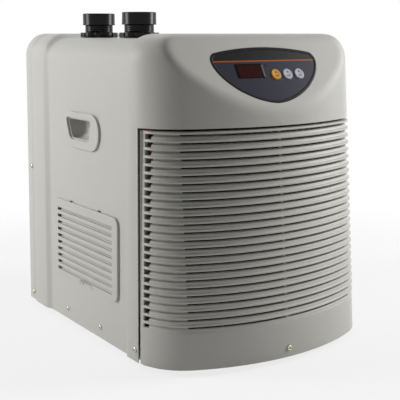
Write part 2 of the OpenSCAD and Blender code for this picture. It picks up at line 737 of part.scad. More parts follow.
/* Compressor: a welded steel pot on a three-legged foot plate */
comp_side_gap = 107.5;
comp_back_gap = 120.7;
comp_x = body_w / 2 - comp_side_gap;
comp_y = rear_y - comp_back_gap;
grommet_h = 12;
grommet_r = 9;
bolt_r = 3;
bolt_head_r = 5.5;
bolt_head_h = 4;
foot_plate_t = 3;
leg_l = 8;
bolt_ring_r = comp_r + leg_l;
dome_r = 18;
stub_r = 5;
stub_l = 14;
comp_z = pan_t + seat + grommet_h + seat;
comp_leg_degs = [90, 210, 330];
comp_bolt_places = [for (a = comp_leg_degs) [comp_x + bolt_ring_r * cos(a), comp_y + bolt_ring_r * sin(a)]];
comp_top = comp_z + foot_plate_t + comp_h;
suction_at = [comp_x - comp_r / 2, comp_y + comp_r / 4];
discharge_at = [comp_x + comp_r / 2, comp_y - comp_r / 4];
module compressor() {
  color("#26282b") cabinet() {
    difference() {
      union() {
        translate([comp_x, comp_y, comp_z]) cylinder(r = comp_r - dome_r + over, h = foot_plate_t + skin);
        for (a = comp_leg_degs) translate([comp_x, comp_y, comp_z]) rotate([0, 0, a]) {
          translate([0, -grommet_r, 0]) cube([bolt_ring_r, 2 * grommet_r, foot_plate_t]);
          translate([bolt_ring_r, 0, 0]) cylinder(r = grommet_r + seat, h = foot_plate_t);
        }
      }
      for (p = comp_bolt_places) translate([p.x, p.y, comp_z - over])
        cylinder(r = bolt_r + seat, h = foot_plate_t + 2 * over);
    }
    translate([comp_x, comp_y, comp_z + foot_plate_t]) rotate_extrude() polygon(concat([[0, 0], [comp_r - dome_r, 0]],
      [for (a = [-75:15:0]) [comp_r - dome_r + dome_r * cos(a), dome_r + dome_r * sin(a)]],
      [for (a = [0:15:75]) [comp_r - dome_r + dome_r * cos(a), comp_h - dome_r + dome_r * sin(a)]],
      [[comp_r - dome_r, comp_h], [0, comp_h]]));
    for (p = [suction_at, discharge_at]) translate([p.x, p.y, comp_top - dome_r]) cylinder(r = stub_r, h = dome_r + stub_l);
  }
}
module compressor_grommets() {
  color(black_c) cabinet() for (p = comp_bolt_places) translate([p.x, p.y, pan_t + seat])
    ring(grommet_r, bolt_r + seat, grommet_h);
}
module compressor_bolts() {
  top = comp_z + foot_plate_t + seat;
  color(steel_c) cabinet() for (p = comp_bolt_places) translate([p.x, p.y, 0]) {
    translate([0, 0, -seat]) cylinder(r = bolt_r, h = top + bolt_head_h);
    translate([0, 0, top]) cylinder(r = bolt_head_r, h = bolt_head_h, $fn = 6);
  }
}
terminal_w = 46;
terminal_h = 52;
terminal_d = 24;
terminal_wall = 2;
module terminal_cover() {
  color(black_c) cabinet() translate([comp_x, comp_y - comp_r - terminal_d / 2, comp_z + comp_h / 2]) difference() {
    translate([-terminal_w / 2, 0, -terminal_h / 2]) cube([terminal_w, terminal_d + dome_r, terminal_h]);
    translate([-terminal_w / 2 + terminal_wall, terminal_wall, -terminal_h / 2 + terminal_wall])
      cube([terminal_w - 2 * terminal_wall, terminal_d + dome_r, terminal_h - 2 * terminal_wall]);
    translate([0, comp_r + terminal_d / 2, -terminal_h]) cylinder(r = comp_r + seat, h = 2 * terminal_h);
  }
}

/* Condenser: plates on one bent tube, held by a folded frame */
cond_y = 2;
cond_side_gap = 54.5;
cond_half_w = body_w / 2 - cond_side_gap;
cond_d = 36;
cond_z0 = 32;
cond_drop = 14;
cond_z1 = fascia_z - cond_drop;
frame_t = 1.5;
frame_flange = 14;
tube_r = 4.5;
run_pitch = (cond_z1 - cond_z0) / run_count;
run_z0 = cond_z0 + run_pitch / 2;
plate_t = 0.8;
plate_pitch = (2 * cond_half_w - frame_flange) / (plate_count - 1);
bend_out = 8;
module tube_holes(r) {
  for (i = [0:run_count - 1]) translate([cond_y, run_z0 + i * run_pitch]) circle(r = r, $fn = 24);
}
module condenser_plates() {
  color("#c9ccce") cabinet() for (i = [0:plate_count - 1])
    translate([(i - (plate_count - 1) / 2) * plate_pitch, 0, 0]) slab(-plate_t / 2, plate_t / 2) difference() {
      translate([cond_y - cond_d / 2, cond_z0]) square([cond_d, cond_z1 - cond_z0]);
      tube_holes(tube_r + seat / 2);
    }
}
function bend_points(i) = let (
    s = i % 2 == 0 ? 1 : -1,
    z = run_z0 + (i + 0.5) * run_pitch)
  [for (a = [-90:22.5:90]) [s * (cond_half_w + frame_t + bend_out + run_pitch / 2 * cos(a)), cond_y,
    z + run_pitch / 2 * sin(a)]];
cond_end_x = cond_half_w + frame_t + bend_out + 2 * tube_r;
module condenser_tube() {
  color(copper_c) cabinet() tube(concat([[-cond_end_x, cond_y, run_z0]],
    [for (i = [0:run_count - 2]) each bend_points(i)],
    [[-cond_end_x, cond_y, run_z0 + (run_count - 1) * run_pitch]]), tube_r, 12);
}
module condenser_frame() {
  color(steel_c) cabinet() {
    for (s = [-1, 1]) mirror([s < 0 ? 1 : 0, 0, 0]) difference() {
      union() {
        translate([cond_half_w, cond_y - cond_d / 2 - frame_t, pan_t + seat])
          cube([frame_t, cond_d + 2 * frame_t, cond_z1 - pan_t + frame_t]);
        translate([cond_half_w, cond_y - cond_d / 2 - frame_t, pan_t + seat])
          cube([frame_flange, cond_d + 2 * frame_t, frame_t]);
      }
      slab(cond_half_w - over, cond_half_w + frame_t + over) tube_holes(tube_r + seat / 2);
    }
    for (z = [cond_z0 - frame_t - seat, cond_z1 + seat])
      translate([-cond_half_w - skin, cond_y - cond_d / 2 - frame_t, z])
        cube([2 * cond_half_w + 2 * skin, cond_d + 2 * frame_t, frame_t]);
  }
}

/* Fan: shroud behind the condenser, motor on four arms, rotor on its shaft */
fan_z = (cond_z0 + cond_z1) / 2;
rotor_r = min(cond_half_w, (cond_z1 - cond_z0) / 2) - rotor_gap;
shroud_y = cond_y + cond_d / 2 + frame_t + seat;
shroud_t = 2;
shroud_ring_l = 32;
shroud_gap = 5;
shroud_r = rotor_r + shroud_gap;
motor_r = 38;
motor_gap = 14;
motor_y0 = shroud_y + shroud_ring_l + motor_gap;
motor_l = 46;
arm_w = 10;
clamp_t = 4;
shaft_r = 4;
hub_r = 24;
hub_l = 26;
rotor_y = shroud_y + shroud_t + 4;
blade_deep = 24;
fan_blade_t = 2.4;
fan_blade_deg = 32;
module fan_shroud() {
  color(black_c) cabinet() difference() {
    union() {
      translate([-cond_half_w, shroud_y, cond_z0]) cube([2 * cond_half_w, shroud_t, cond_z1 - cond_z0]);
      translate([0, 0, fan_z]) along_y(shroud_y, shroud_y + shroud_ring_l, shroud_r + wall);
    }
    translate([0, 0, fan_z]) along_y(shroud_y - over, shroud_y + shroud_ring_l + over, shroud_r);
  }
}
module fan_motor() {
  color("#3b3d40") cabinet() translate([0, 0, fan_z]) difference() {
    union() {
      along_y(motor_y0, motor_y0 + motor_l, motor_r);
      along_y(motor_y0 - 2 * wall, motor_y0 + skin, motor_r / 3);
      along_y(motor_y0 + motor_l - skin, motor_y0 + motor_l + wall, motor_r / 2);
    }
    along_y(motor_y0 - 3 * wall, motor_y0 + motor_l / 2, shaft_r + run);
  }
}
module motor_bracket() {
  y = motor_y0 + wall;
  foot_y = shroud_y + shroud_ring_l + seat;
  color(steel_c) cabinet() translate([0, 0, fan_z]) {
    difference() {
      along_y(y, y + arm_w, motor_r + clamp_t);
      along_y(y - over, y + arm_w + over, motor_r + seat);
    }
    for (a = [45:90:315]) rotate([0, a, 0]) {
      translate([motor_r + clamp_t - skin, y, -arm_w / 2]) cube([shroud_r + wall - motor_r - clamp_t + skin, clamp_t, arm_w]);
      translate([shroud_r - clamp_t + wall, foot_y, -arm_w / 2]) cube([clamp_t, y - foot_y + clamp_t, arm_w]);
    }
  }
}
module motor_shaft() {
  color(steel_c) cabinet() translate([0, 0, fan_z]) along_y(rotor_y + wall, motor_y0 + motor_l / 2 - wall, shaft_r);
}
module fan_rotor() {
  color("#1c1d1f") cabinet() translate([0, 0, fan_z]) {
    difference() {
      along_y(rotor_y, rotor_y + hub_l, hub_r);
      along_y(rotor_y + wall - seat, rotor_y + hub_l + over, shaft_r + run);
    }
    intersection() {
      difference() {
        along_y(rotor_y, rotor_y + hub_l, rotor_r);
        along_y(rotor_y - over, rotor_y + hub_l + over, hub_r - skin);
      }
      for (i = [0:blade_count - 1]) rotate([0, i * 360 / blade_count, 0])
        translate([hub_r - wall, rotor_y + hub_l / 2, 0]) rotate([fan_blade_deg, 0, 0])
          translate([0, -fan_blade_t / 2, -rotor_r / 4]) cube([rotor_r, fan_blade_t, rotor_r / 2]);
    }
  }
}

/* Heat exchanger: a barrel under the two ports, with a titanium coil inside */
barrel_drop = 75;
barrel_end = 42;
barrel_z = body_h - barrel_drop;
barrel_y0 = port_y0 - barrel_end;
barrel_y1 = port_y0 + port_pitch + barrel_end + 2;
barrel_wall = 4;
stub_out_r = 20;
stub_drop = 24;
stub_top = body_h - stub_drop;
cap_t = 10;
coil_r = 28;
coil_tube_r = 4;
coil_turns = 11;
coil_steps = 16;
module exchanger_barrel() {
  color("#4a4d50") cabinet() translate([-port_x, 0, 0]) {
    difference() {
      union() {
        translate([0, 0, barrel_z]) along_y(barrel_y0, barrel_y1, barrel_r);
        for (y = [port_y0, port_y0 + port_pitch]) translate([0, y, barrel_z]) cylinder(r = stub_out_r, h = stub_top - barrel_z);
      }
      translate([0, 0, barrel_z]) along_y(barrel_y0 + barrel_wall, barrel_y1 + over, barrel_r - barrel_wall);
      for (y = [port_y0, port_y0 + port_pitch]) translate([0, y, barrel_z]) cylinder(r = port_bore_r + skin, h = 2 * stub_top);
    }
  }
}
module barrel_cap() {
  color("#2c2e30") cabinet() translate([-port_x, 0, barrel_z]) difference() {
    union() {
      along_y(barrel_y1 + seat, barrel_y1 + seat + cap_t, barrel_r);
      along_y(barrel_y1 - cap_t, barrel_y1 + seat + skin, barrel_r - barrel_wall - seat);
    }
    for (s = [-1, 1]) translate([s * coil_r, 0, 0])
      along_y(barrel_y1 - 2 * cap_t, barrel_y1 + 2 * cap_t, coil_tube_r + seat);
    along_y(barrel_y1 - 2 * cap_t, barrel_y1 + 2 * cap_t, probe_r + seat);
  }
}
coil_y0 = barrel_y0 + 4 * barrel_wall;
coil_y1 = barrel_y1 - 3 * cap_t;
coil_out = barrel_y1 + cap_t + 6;
function coil_path() = concat(
  [for (i = [0:coil_turns * coil_steps]) let (a = 360 * i / coil_steps, t = i / (coil_turns * coil_steps))
    [-port_x + coil_r * cos(a), coil_y1 + (coil_y0 - coil_y1) * t, barrel_z + coil_r * sin(a)]]);
module titanium_coil() {
  color("#a9a39a") cabinet() {
    tube(concat([[-port_x + coil_r, coil_out, barrel_z], [-port_x + coil_r, coil_y1 + 2 * coil_tube_r, barrel_z]],
      [for (i = [1:coil_turns * coil_steps]) coil_path()[i]],
      [[-port_x + coil_r - 3 * coil_tube_r, coil_y0 - coil_tube_r, barrel_z],
        [-port_x - coil_tube_r, coil_y0, barrel_z - coil_tube_r],
        [-port_x - coil_r + 3 * coil_tube_r, coil_y0 + 4 * coil_tube_r, barrel_z],
        [-port_x - coil_r + 3 * coil_tube_r, coil_y1, barrel_z],
        [-port_x - coil_r, coil_y1 + 4 * coil_tube_r, barrel_z],
        [-port_x - coil_r, coil_out, barrel_z]]), coil_tube_r, 6);
  }
}
probe_r = 3;
probe_l = 60;
module temperature_probe() {
  color(nickel_c) cabinet() translate([-port_x, 0, barrel_z]) {
    along_y(barrel_y1 - probe_l / 2, barrel_y1 + cap_t + 2 * probe_r, probe_r);
    along_y(barrel_y1 + seat + cap_t + seat, barrel_y1 + cap_t + 2 * probe_r + skin, 2 * probe_r);
  }
}
part_t = 2;
part_gap = 4;
part_end = 12;
part_x = -port_x + barrel_r + part_gap;
part_y0 = barrel_y0 + part_end + 2 * part_gap;
part_y1 = barrel_y1 - part_end;
part_z1 = barrel_z + part_end;
saddle_t = 10;
saddle_ys = [part_y0 + part_gap, part_y1 - saddle_t - 2 * part_gap];
saddle_drop = 12;
module barrel_cradle() {
  color(steel_c) cabinet() difference() {
    union() {
      translate([part_x, part_y0, pan_t + seat]) cube([part_t, part_y1 - part_y0, part_z1 - pan_t - seat]);
      translate([part_x - frame_flange, part_y0, pan_t + seat]) cube([frame_flange + skin, part_y1 - part_y0, part_t]);
      for (y = saddle_ys) translate([-port_x - barrel_r, y, barrel_z - barrel_r - saddle_drop])
        cube([part_x + port_x + barrel_r + skin, saddle_t, barrel_r + saddle_drop]);
    }
    translate([-port_x, 0, barrel_z]) along_y(0, body_d, barrel_r + seat);
  }
}

/* Water ports: flanged necks through the top, each with a seal, a lock nut and a union nut */
flange_t = 6.7;
thread_gap = 4;
lock_h = 5.5;
seal_t = 0.8;
nut_lip = 2.6;
nut_open_r = 17;
nut_top = body_h + nut_rise;
neck_top = nut_top - nut_lip - seat;
flange_z = deck_z + seal_t + 2 * seat;
port_foot = stub_top + seat;
coupler_h = 12;
coupler_t = 3.5;
stub_gap = 3;
module port(y) {
  color(black_c) cabinet() translate([-port_x, y, 0]) difference() {
    union() {
      translate([0, 0, flange_z]) cylinder(r = flange_r, h = flange_t);
      translate([0, 0, deck_z - wall - lock_h - 2 * seat]) cylinder(r = neck_r, h = neck_top - deck_z + wall + lock_h + 2 * seat);
      translate([0, 0, port_foot]) cylinder(r = stub_out_r, h = flange_z - port_foot);
    }
    translate([0, 0, port_foot - over]) cylinder(r = port_bore_r, h = body_h);
  }
}
module union_nut(y) {
  color(black_c) cabinet() translate([-port_x, y, 0]) difference() {
    translate([0, 0, nut_top - nut_h]) cylinder(r = nut_r, h = nut_h);
    translate([0, 0, nut_top - nut_h - over]) cylinder(r = neck_r + run, h = nut_h + over - nut_lip);
    translate([0, 0, nut_top - nut_h]) cylinder(r = nut_open_r, h = 2 * nut_h);
  }
}
module at_ports() {
  cabinet() for (y = [port_y0, port_y0 + port_pitch]) translate([-port_x, y, 0]) children();
}
module inlet_port() { port(port_y0); }
module outlet_port() { port(port_y0 + port_pitch); }
module inlet_nut() { union_nut(port_y0); }
module outlet_nut() { union_nut(port_y0 + port_pitch); }
module port_seals() {
  color("#1a1a1a") at_ports() translate([0, 0, deck_z + seat]) ring(flange_r - seal_t, neck_r + seat, seal_t);
}
module port_lock_nuts() {
  color(black_c) at_ports() translate([0, 0, deck_z - wall - seat - lock_h]) difference() {
    cylinder(r = flange_r + lock_h, h = lock_h, $fn = 6);
    translate([0, 0, -over]) cylinder(r = neck_r + run, h = lock_h + 2 * over);
  }
}
module port_couplers() {
  color("#1a1a1a") at_ports() translate([0, 0, stub_top - coupler_h / 2])
    ring(stub_out_r + coupler_t, stub_out_r + seat, coupler_h - stub_gap);
}

/* Refrigerant lines: bent copper tubes between the compressor, condenser, drier and exchanger */
line_r = 4;
thin_r = 2;
bend_d = 14;
stub_z = comp_top + stub_l + seat;
drier_r = 12;
drier_h = 110;
drier_x = part_x + part_t + drier_r + seat;
drier_y = (part_y0 + part_y1) / 2 + part_t;
drier_z = 90;
liquid_gap = 8;
liquid_y = shroud_y + shroud_ring_l + liquid_gap;
drier_stub = 12;
run_top_z = run_z0 + (run_count - 1) * run_pitch;
lane_x = cond_end_x + seat;
module suction_line() {
  x = -port_x + coil_r;
  y = coil_out + seat;
  color(black_c) cabinet() tube(soft_path([[x, y, barrel_z], [x, y + bend_d + line_r, barrel_z],
    [x, y + bend_d + line_r, stub_z + 3 * bend_d], [suction_at.x, suction_at.y, stub_z + 3 * bend_d],
    [suction_at.x, suction_at.y, stub_z]], bend_d, 4), line_r);
}
module discharge_line() {
  x = -lane_x - 2 * line_r;
  y = cond_y + cond_d / 2;
  z = cond_z1 + 2 * bend_d;
  color(copper_c) cabinet() tube(soft_path([[discharge_at.x, discharge_at.y, stub_z],
    [discharge_at.x, discharge_at.y, z], [discharge_at.x, y, z], [x, y, z], [x, y, run_top_z],
    [x, cond_y, run_top_z], [-lane_x, cond_y, run_top_z]], bend_d / 2, 4), line_r);
}
module liquid_line() {
  color(copper_c) cabinet() tube(soft_path([[-lane_x, cond_y, run_z0], [-lane_x - bend_d, cond_y, run_z0],
    [-lane_x - bend_d, liquid_y, run_z0], [drier_x, liquid_y, run_z0],
    [drier_x, drier_y, run_z0], [drier_x, drier_y, drier_z - drier_stub - seat]], bend_d / 2, 4), line_r);
}
module capillary_tube() {
  x = -port_x - coil_r;
  y = coil_out + seat;
  color(copper_c) cabinet() tube(soft_path([[drier_x, drier_y, drier_z + drier_h + drier_stub + seat],
    [drier_x, drier_y, drier_z + drier_h + 4 * drier_stub], [drier_x, y + 3 * bend_d, drier_z + drier_h + 4 * drier_stub],
    [x, y + 3 * bend_d, drier_z + drier_h + 4 * drier_stub], [x, y + 3 * bend_d, barrel_z], [x, y, barrel_z]],
    bend_d / 2, 4), thin_r, 8);
}
module filter_drier() {
  color(copper_c) cabinet() translate([drier_x, drier_y, drier_z]) {
    cylinder(r = drier_r, h = drier_h);
    translate([0, 0, -drier_stub]) cylinder(r = line_r, h = drier_h + 2 * drier_stub);
  }
}

/* Electrical box on the partition, with the relay board and run capacitor inside */
ebox_w = 72;
ebox_d = 130;
ebox_h = 96;
ebox_t = 2;
ebox_front = 24;
ebox_drop = 169;
ebox_y = part_y0 + ebox_front;
ebox_z = body_h - ebox_drop;
ebox_x = part_x + part_t + seat;
relay_w = 18;
relay_pitch = 32;
cap_r = 17;
cap_l = 70;
module electrical_box() {
  color(white_c) cabinet() translate([ebox_x, ebox_y, ebox_z]) difference() {
    cube([ebox_w, ebox_d, ebox_h]);
    translate([ebox_t, ebox_t, ebox_t]) cube([ebox_w, ebox_d - 2 * ebox_t, ebox_h - 2 * ebox_t]);
  }
}
module electrical_cover() {
  color(white_c) cabinet() translate([ebox_x + ebox_w + seat, ebox_y, ebox_z]) cube([ebox_t, ebox_d, ebox_h]);
}
module relay_board() {
  x = ebox_x + ebox_t + seat;
  color(green_c) cabinet() translate([x, ebox_y + 2 * ebox_t, ebox_z + ebox_h / 2]) {
    cube([board_t, ebox_d - 4 * ebox_t, ebox_h / 2 - 2 * ebox_t]);
    for (i = [0:2]) translate([board_t - skin / 2, (i + 1) * relay_pitch - relay_w, ebox_h / 2 - 2 * ebox_t - 2 * relay_w]) cube([relay_w, relay_w, relay_w]);
  }
}
module run_capacitor() {
  color(white_c) cabinet() translate([ebox_x + ebox_t + seat + cap_r, ebox_y + ebox_t + seat, ebox_z + ebox_t + seat + cap_r])
    along_y(0, cap_l, cap_r);
}

/* Mains inlet: an appliance socket with three pins, let into the rear panel */
pin_w = 2;
pin_h = 4;
pin_l = 12;
pin_pitch = 7;
pin_rise = 4;
pin_drop = 0;
module power_inlet() {
  back = rear_y + seat;
  color(black_c) cabinet() translate([socket_x, 0, socket_z]) {
    difference() {
      union() {
        translate([-socket_w / 2 - socket_flange, back, -socket_h / 2 - socket_flange])
          cube([socket_w + 2 * socket_flange, socket_wall, socket_h + 2 * socket_flange]);
        translate([-socket_w / 2, back - socket_d, -socket_h / 2]) cube([socket_w, socket_d + skin, socket_h]);
      }
      translate([-socket_w / 2 + socket_wall, back - socket_d + socket_wall, -socket_h / 2 + socket_wall])
        cube([socket_w - 2 * socket_wall, socket_d + over + socket_wall, socket_h - 2 * socket_wall]);
    }
    for (p = [[-pin_pitch, pin_drop], [pin_pitch, pin_drop], [0, pin_rise]])
      translate([p[0] - pin_w / 2, back - socket_d + socket_wall / 2, p[1] - pin_h / 2]) cube([pin_w, pin_l, pin_h]);
  }
}

base_pan();
feet();
front_bezel();
main_casing();
rear_panel();
front_grille();
front_filter();
control_panel();
display_window();
status_led();
set_button();
up_button();
down_button();
display_board();
handle_left();
handle_right();
vent_cover_left();
vent_cover_right();
vent_filter_left();
vent_filter_right();
side_screws();
rear_screws();
grille_screw();
compressor();
compressor_grommets();
compressor_bolts();
terminal_cover();
condenser_plates();
condenser_tube();
condenser_frame();
fan_shroud();
fan_motor();
motor_bracket();
motor_shaft();
fan_rotor();
exchanger_barrel();
barrel_cap();
titanium_coil();
barrel_cradle();
inlet_port();
outlet_port();
inlet_nut();
outlet_nut();
port_seals();
port_lock_nuts();
port_couplers();
suction_line();
discharge_line();
liquid_line();
capillary_tube();
filter_drier();
electrical_box();
electrical_cover();
relay_board();
run_capacitor();
temperature_probe();
power_inlet();
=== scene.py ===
# %% [markdown]
# # A water chiller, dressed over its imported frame
# The chiller is a pale moulded cabinet: a bowed front grille under a sloping
# fascia, a plain casing with a louvred hatch and a finger pocket on each side,
# a rear panel, and two black water fittings on top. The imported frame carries
# every solid in its place. The outer skins are made again here as smooth
# surfaces, and the pieces inside keep their solids and get a finish.

# %% Tools and the frame
import math

import bmesh
import bpy
import numpy as np
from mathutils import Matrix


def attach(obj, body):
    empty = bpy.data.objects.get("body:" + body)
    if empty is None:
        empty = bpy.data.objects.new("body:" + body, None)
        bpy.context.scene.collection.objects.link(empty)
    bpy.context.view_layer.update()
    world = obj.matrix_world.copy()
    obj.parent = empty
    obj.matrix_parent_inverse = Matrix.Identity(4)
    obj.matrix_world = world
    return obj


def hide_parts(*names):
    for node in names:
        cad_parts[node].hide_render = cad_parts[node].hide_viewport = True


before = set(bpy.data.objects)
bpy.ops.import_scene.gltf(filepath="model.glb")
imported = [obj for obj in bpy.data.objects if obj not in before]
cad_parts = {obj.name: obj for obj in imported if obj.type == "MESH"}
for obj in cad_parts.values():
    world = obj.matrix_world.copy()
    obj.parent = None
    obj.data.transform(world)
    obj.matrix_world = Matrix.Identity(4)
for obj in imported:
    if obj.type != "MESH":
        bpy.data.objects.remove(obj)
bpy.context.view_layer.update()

# %% [markdown]
# ## One ruler for every piece
# The cabinet was drawn in millimetres from two handy places: the seam where the
# casing meets the nose, and the cabinet's own foot. Working in that ruler keeps
# the numbers readable, and one function carries the points to the row frame.

# %% From cabinet millimetres to the row frame
MM = 0.001
SEAM_Y = -148.7
FOOT_H = 8.0


def to_row(points):
    """Cabinet millimetres plus the seam's and the foot's place, as metres."""
    return (np.asarray(points, float) + (0.0, SEAM_Y, FOOT_H)) * MM


def quarter(count):
    """The angles of a quarter turn, ends included, in radians."""
    return np.radians(np.linspace(0, 90, count))


def full_turn(count):
    """The angles of a full turn, the last one left out, in radians."""
    return np.linspace(0, 2 * np.pi, count, endpoint=False)


def steps(*stops):
    """Evenly spaced numbers through a row of (value, count) stops, each stop once."""
    runs = [np.linspace(a[0], b[0], b[1], endpoint=False) for a, b in zip(stops, stops[1:])]
    return np.concatenate(runs + [[stops[-1][0]]])


# %% [markdown]
# ## Surfaces from grids
# Every new skin is a grid of points. A wall with a real thickness is two grids
# that match, joined round the rim and round every opening. Working out which
# edges need that joining with whole arrays keeps it short: an edge is a rim when
# just one of the two cells beside it is kept.

# %% Grids, walls and pieces
def grid_quads(rows, cols, wrap=False):
    """Corner numbers of the cells: (i, j), (i, j+1), (i+1, j+1), (i+1, j), row after row."""
    i, j = np.meshgrid(np.arange(rows - 1), np.arange(cols if wrap else cols - 1), indexing="ij")
    k = (j + 1) % cols
    return np.stack([i * cols + j, i * cols + k, (i + 1) * cols + k, (i + 1) * cols + j], -1).reshape(-1, 4)


def sheet_of(points, wrap=False):
    """One grid as a patch of points and quads."""
    rows, cols = points.shape[:2]
    return points.reshape(-1, 3), grid_quads(rows, cols, wrap)


def wall_of(outer, inner, kept=None):
    """Outer and inner grids joined round the rim and round each cell that isn't kept."""
    rows, cols = outer.shape[:2]
    if kept is None:
        kept = np.ones((rows - 1, cols - 1), bool)
    far = rows * cols
    quads = grid_quads(rows, cols)[kept.reshape(-1)]
    number = np.arange(far).reshape(rows, cols)
    ring = np.pad(kept, 1).astype(int)
    # A jump between neighbours marks a rim edge: first the upright edges, then the level ones.
    jumps = ((ring[1:-1, 1:] - ring[1:-1, :-1], 1, 0), (ring[:-1, 1:-1] - ring[1:, 1:-1], 0, 1))
    edge = []
    for jump, down, across in jumps:
        i, j = np.nonzero(jump)
        a, b = number[i, j], number[i + down, j + across]
        flip = jump[i, j] < 0
        edge.append(np.stack([np.where(flip, a, b), np.where(flip, b, a)], -1))
    edge = np.concatenate(edge)
    rim = np.stack([edge[:, 1], edge[:, 0], edge[:, 0] + far, edge[:, 1] + far], -1)
    points = np.concatenate([outer.reshape(-1, 3), inner.reshape(-1, 3)])
    return points, np.concatenate([quads, quads[:, ::-1] + far, rim])


def capped(rows):
    """Rows of points as one wrapped grid whose first and last rows close to points."""
    ends = [np.broadcast_to(row.mean(0), row.shape) for row in (rows[0], rows[-1])]
    return sheet_of(np.stack([ends[0], *rows, ends[1]]), wrap=True)


def shaded(mesh, sharp):
    """The mesh shaded smooth, with edges over the sharp angle kept crisp."""
    mesh.shade_smooth()
    mesh.set_sharp_from_angle(angle=math.radians(sharp))
    return mesh


def mesh_from(name, patches, weld=0.004, sharp=32):
    """Patches joined, welded where they touch, turned outwards, and shaded smooth up to a sharp angle."""
    points, faces, start = [], [], 0
    for p, f in patches:
        points.append(np.asarray(p, float).reshape(-1, 3))
        faces.append(np.asarray(f) + start)
        start += len(points[-1])
    points, faces = np.concatenate(points), np.concatenate(faces)
    used, faces = np.unique(faces, return_inverse=True)
    mesh = bpy.data.meshes.new(name)
    mesh.from_pydata(to_row(points[used]).tolist(), [], faces.reshape(-1, 4).tolist())
    tidy = bmesh.new()
    tidy.from_mesh(mesh)
    bmesh.ops.remove_doubles(tidy, verts=tidy.verts, dist=weld * MM)
    bmesh.ops.dissolve_degenerate(tidy, edges=tidy.edges, dist=weld * MM)
    bmesh.ops.recalc_face_normals(tidy, faces=tidy.faces)
    tidy.to_mesh(mesh)
    tidy.free()
    return shaded(mesh, sharp)


def placed(name, data):
    """A new object for some data, linked to the scene."""
    made = bpy.data.objects.new(name, data)
    bpy.context.scene.collection.objects.link(made)
    return made


def piece(name, mesh, body, material, slot, *nodes):
    """A finished mesh as a piece that rides on a body and stands for its nodes."""
    obj = placed(name, mesh)
    mesh.materials.clear()
    mesh.materials.append(material)
    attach(obj, body)
    if nodes:
        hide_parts(*nodes)
    print(f"{name}: {len(mesh.polygons)} faces")
    return obj


def cut(mesh, cutters, sharp=32):
    """The mesh with closed cutters taken out of it, as a mesh of its own."""
    body, tool = placed("cut_body", mesh), placed("cut_tool", mesh_from("cut_tool", cutters))
    knife = body.modifiers.new("knife", "BOOLEAN")
    knife.operation, knife.solver, knife.object = "DIFFERENCE", "EXACT", tool
    made = bpy.data.meshes.new_from_object(body.evaluated_get(bpy.context.evaluated_depsgraph_get()))
    for obj in (body, tool):
        bpy.data.objects.remove(obj)
    return shaded(made, sharp)


# %% [markdown]
# ## Finishes
# Moulded plastic is never one flat colour: it has a fine spark-eroded grain, and
# its tone drifts a little from place to place. Both come from shader node groups
# that every finish shares, with its own scales and strengths. The groups put out
# colours, masks and heights only, and each material keeps its own shader.

# %% Colours and node helpers
def rgb(r, g, b):
    """An sRGB colour of 0 to 255 as the linear colour that a shader takes."""
    c = np.array([r, g, b], float) / 255
    lin = np.where(c <= 0.04045, c / 12.92, ((c + 0.055) / 1.055) ** 2.4)
    return (*[float(v) for v in lin], 1.0)


def node(tree, kind, inputs=None, **settings):
    """A node with its settings and its inputs, each a value or another node's socket."""
    made = tree.nodes.new(kind)
    for key, value in settings.items():
        setattr(made, key, value)
    for key, value in (inputs or {}).items():
        socket = made.inputs[key]
        if isinstance(value, bpy.types.NodeSocket):
            tree.links.new(value, socket)
        else:
            socket.default_value = value
    return made


def maths(tree, operation, *values, clamp=False):
    """A Math node on up to three values or sockets."""
    return node(tree, "ShaderNodeMath", dict(enumerate(values)), operation=operation, use_clamp=clamp).outputs[0]


def new_group(name, inputs, outputs):
    """An empty shader group with its sockets, and its input and output nodes."""
    tree = bpy.data.node_groups.new(name, "ShaderNodeTree")
    for label, kind, value in inputs:
        socket = tree.interface.new_socket(label, in_out="INPUT", socket_type=kind)
        socket.default_value = value
    for label, kind in outputs:
        tree.interface.new_socket(label, in_out="OUTPUT", socket_type=kind)
    return tree, tree.nodes.new("NodeGroupInput"), tree.nodes.new("NodeGroupOutput")


# %% The shared groups: drifting tone, and moulded grain
FLOAT, COLOUR = "NodeSocketFloat", "NodeSocketColor"


def noise(tree, scale, **settings):
    """The value of a noise texture over the object's own coordinates."""
    place = node(tree, "ShaderNodeTexCoord").outputs["Object"]
    return node(tree, "ShaderNodeTexNoise", {"Vector": place, "Scale": scale, **settings}).outputs["Fac"]


def tone_group():
    """Colour made darker and lighter by two sizes of noise, and a roughness that drifts against it."""
    inputs = [("Colour", COLOUR, (0.5, 0.5, 0.5, 1)), ("Drift", FLOAT, 0.05)]
    inputs += [("Scale", FLOAT, 9.0), ("Roughness", FLOAT, 0.5)]
    tree, given, out = new_group("drifting_tone", inputs, [("Colour", COLOUR), ("Roughness", FLOAT)])
    fine = maths(tree, "MULTIPLY", noise(tree, 420.0, Detail=2.0), 0.3)
    waves = maths(tree, "MULTIPLY_ADD", noise(tree, given.outputs["Scale"], Detail=3.0), 0.7, fine)
    strength = maths(tree, "MULTIPLY", given.outputs["Drift"], 4.0)
    swing = maths(tree, "MULTIPLY", maths(tree, "SUBTRACT", waves, 0.5), strength)
    value = maths(tree, "ADD", 1.0, swing)
    bright = node(tree, "ShaderNodeHueSaturation", {"Color": given.outputs["Colour"], "Value": value})
    tree.links.new(bright.outputs["Color"], out.inputs["Colour"])
    rough = maths(tree, "MULTIPLY_ADD", swing, -0.8, given.outputs["Roughness"], clamp=True)
    tree.links.new(rough, out.inputs["Roughness"])
    return tree


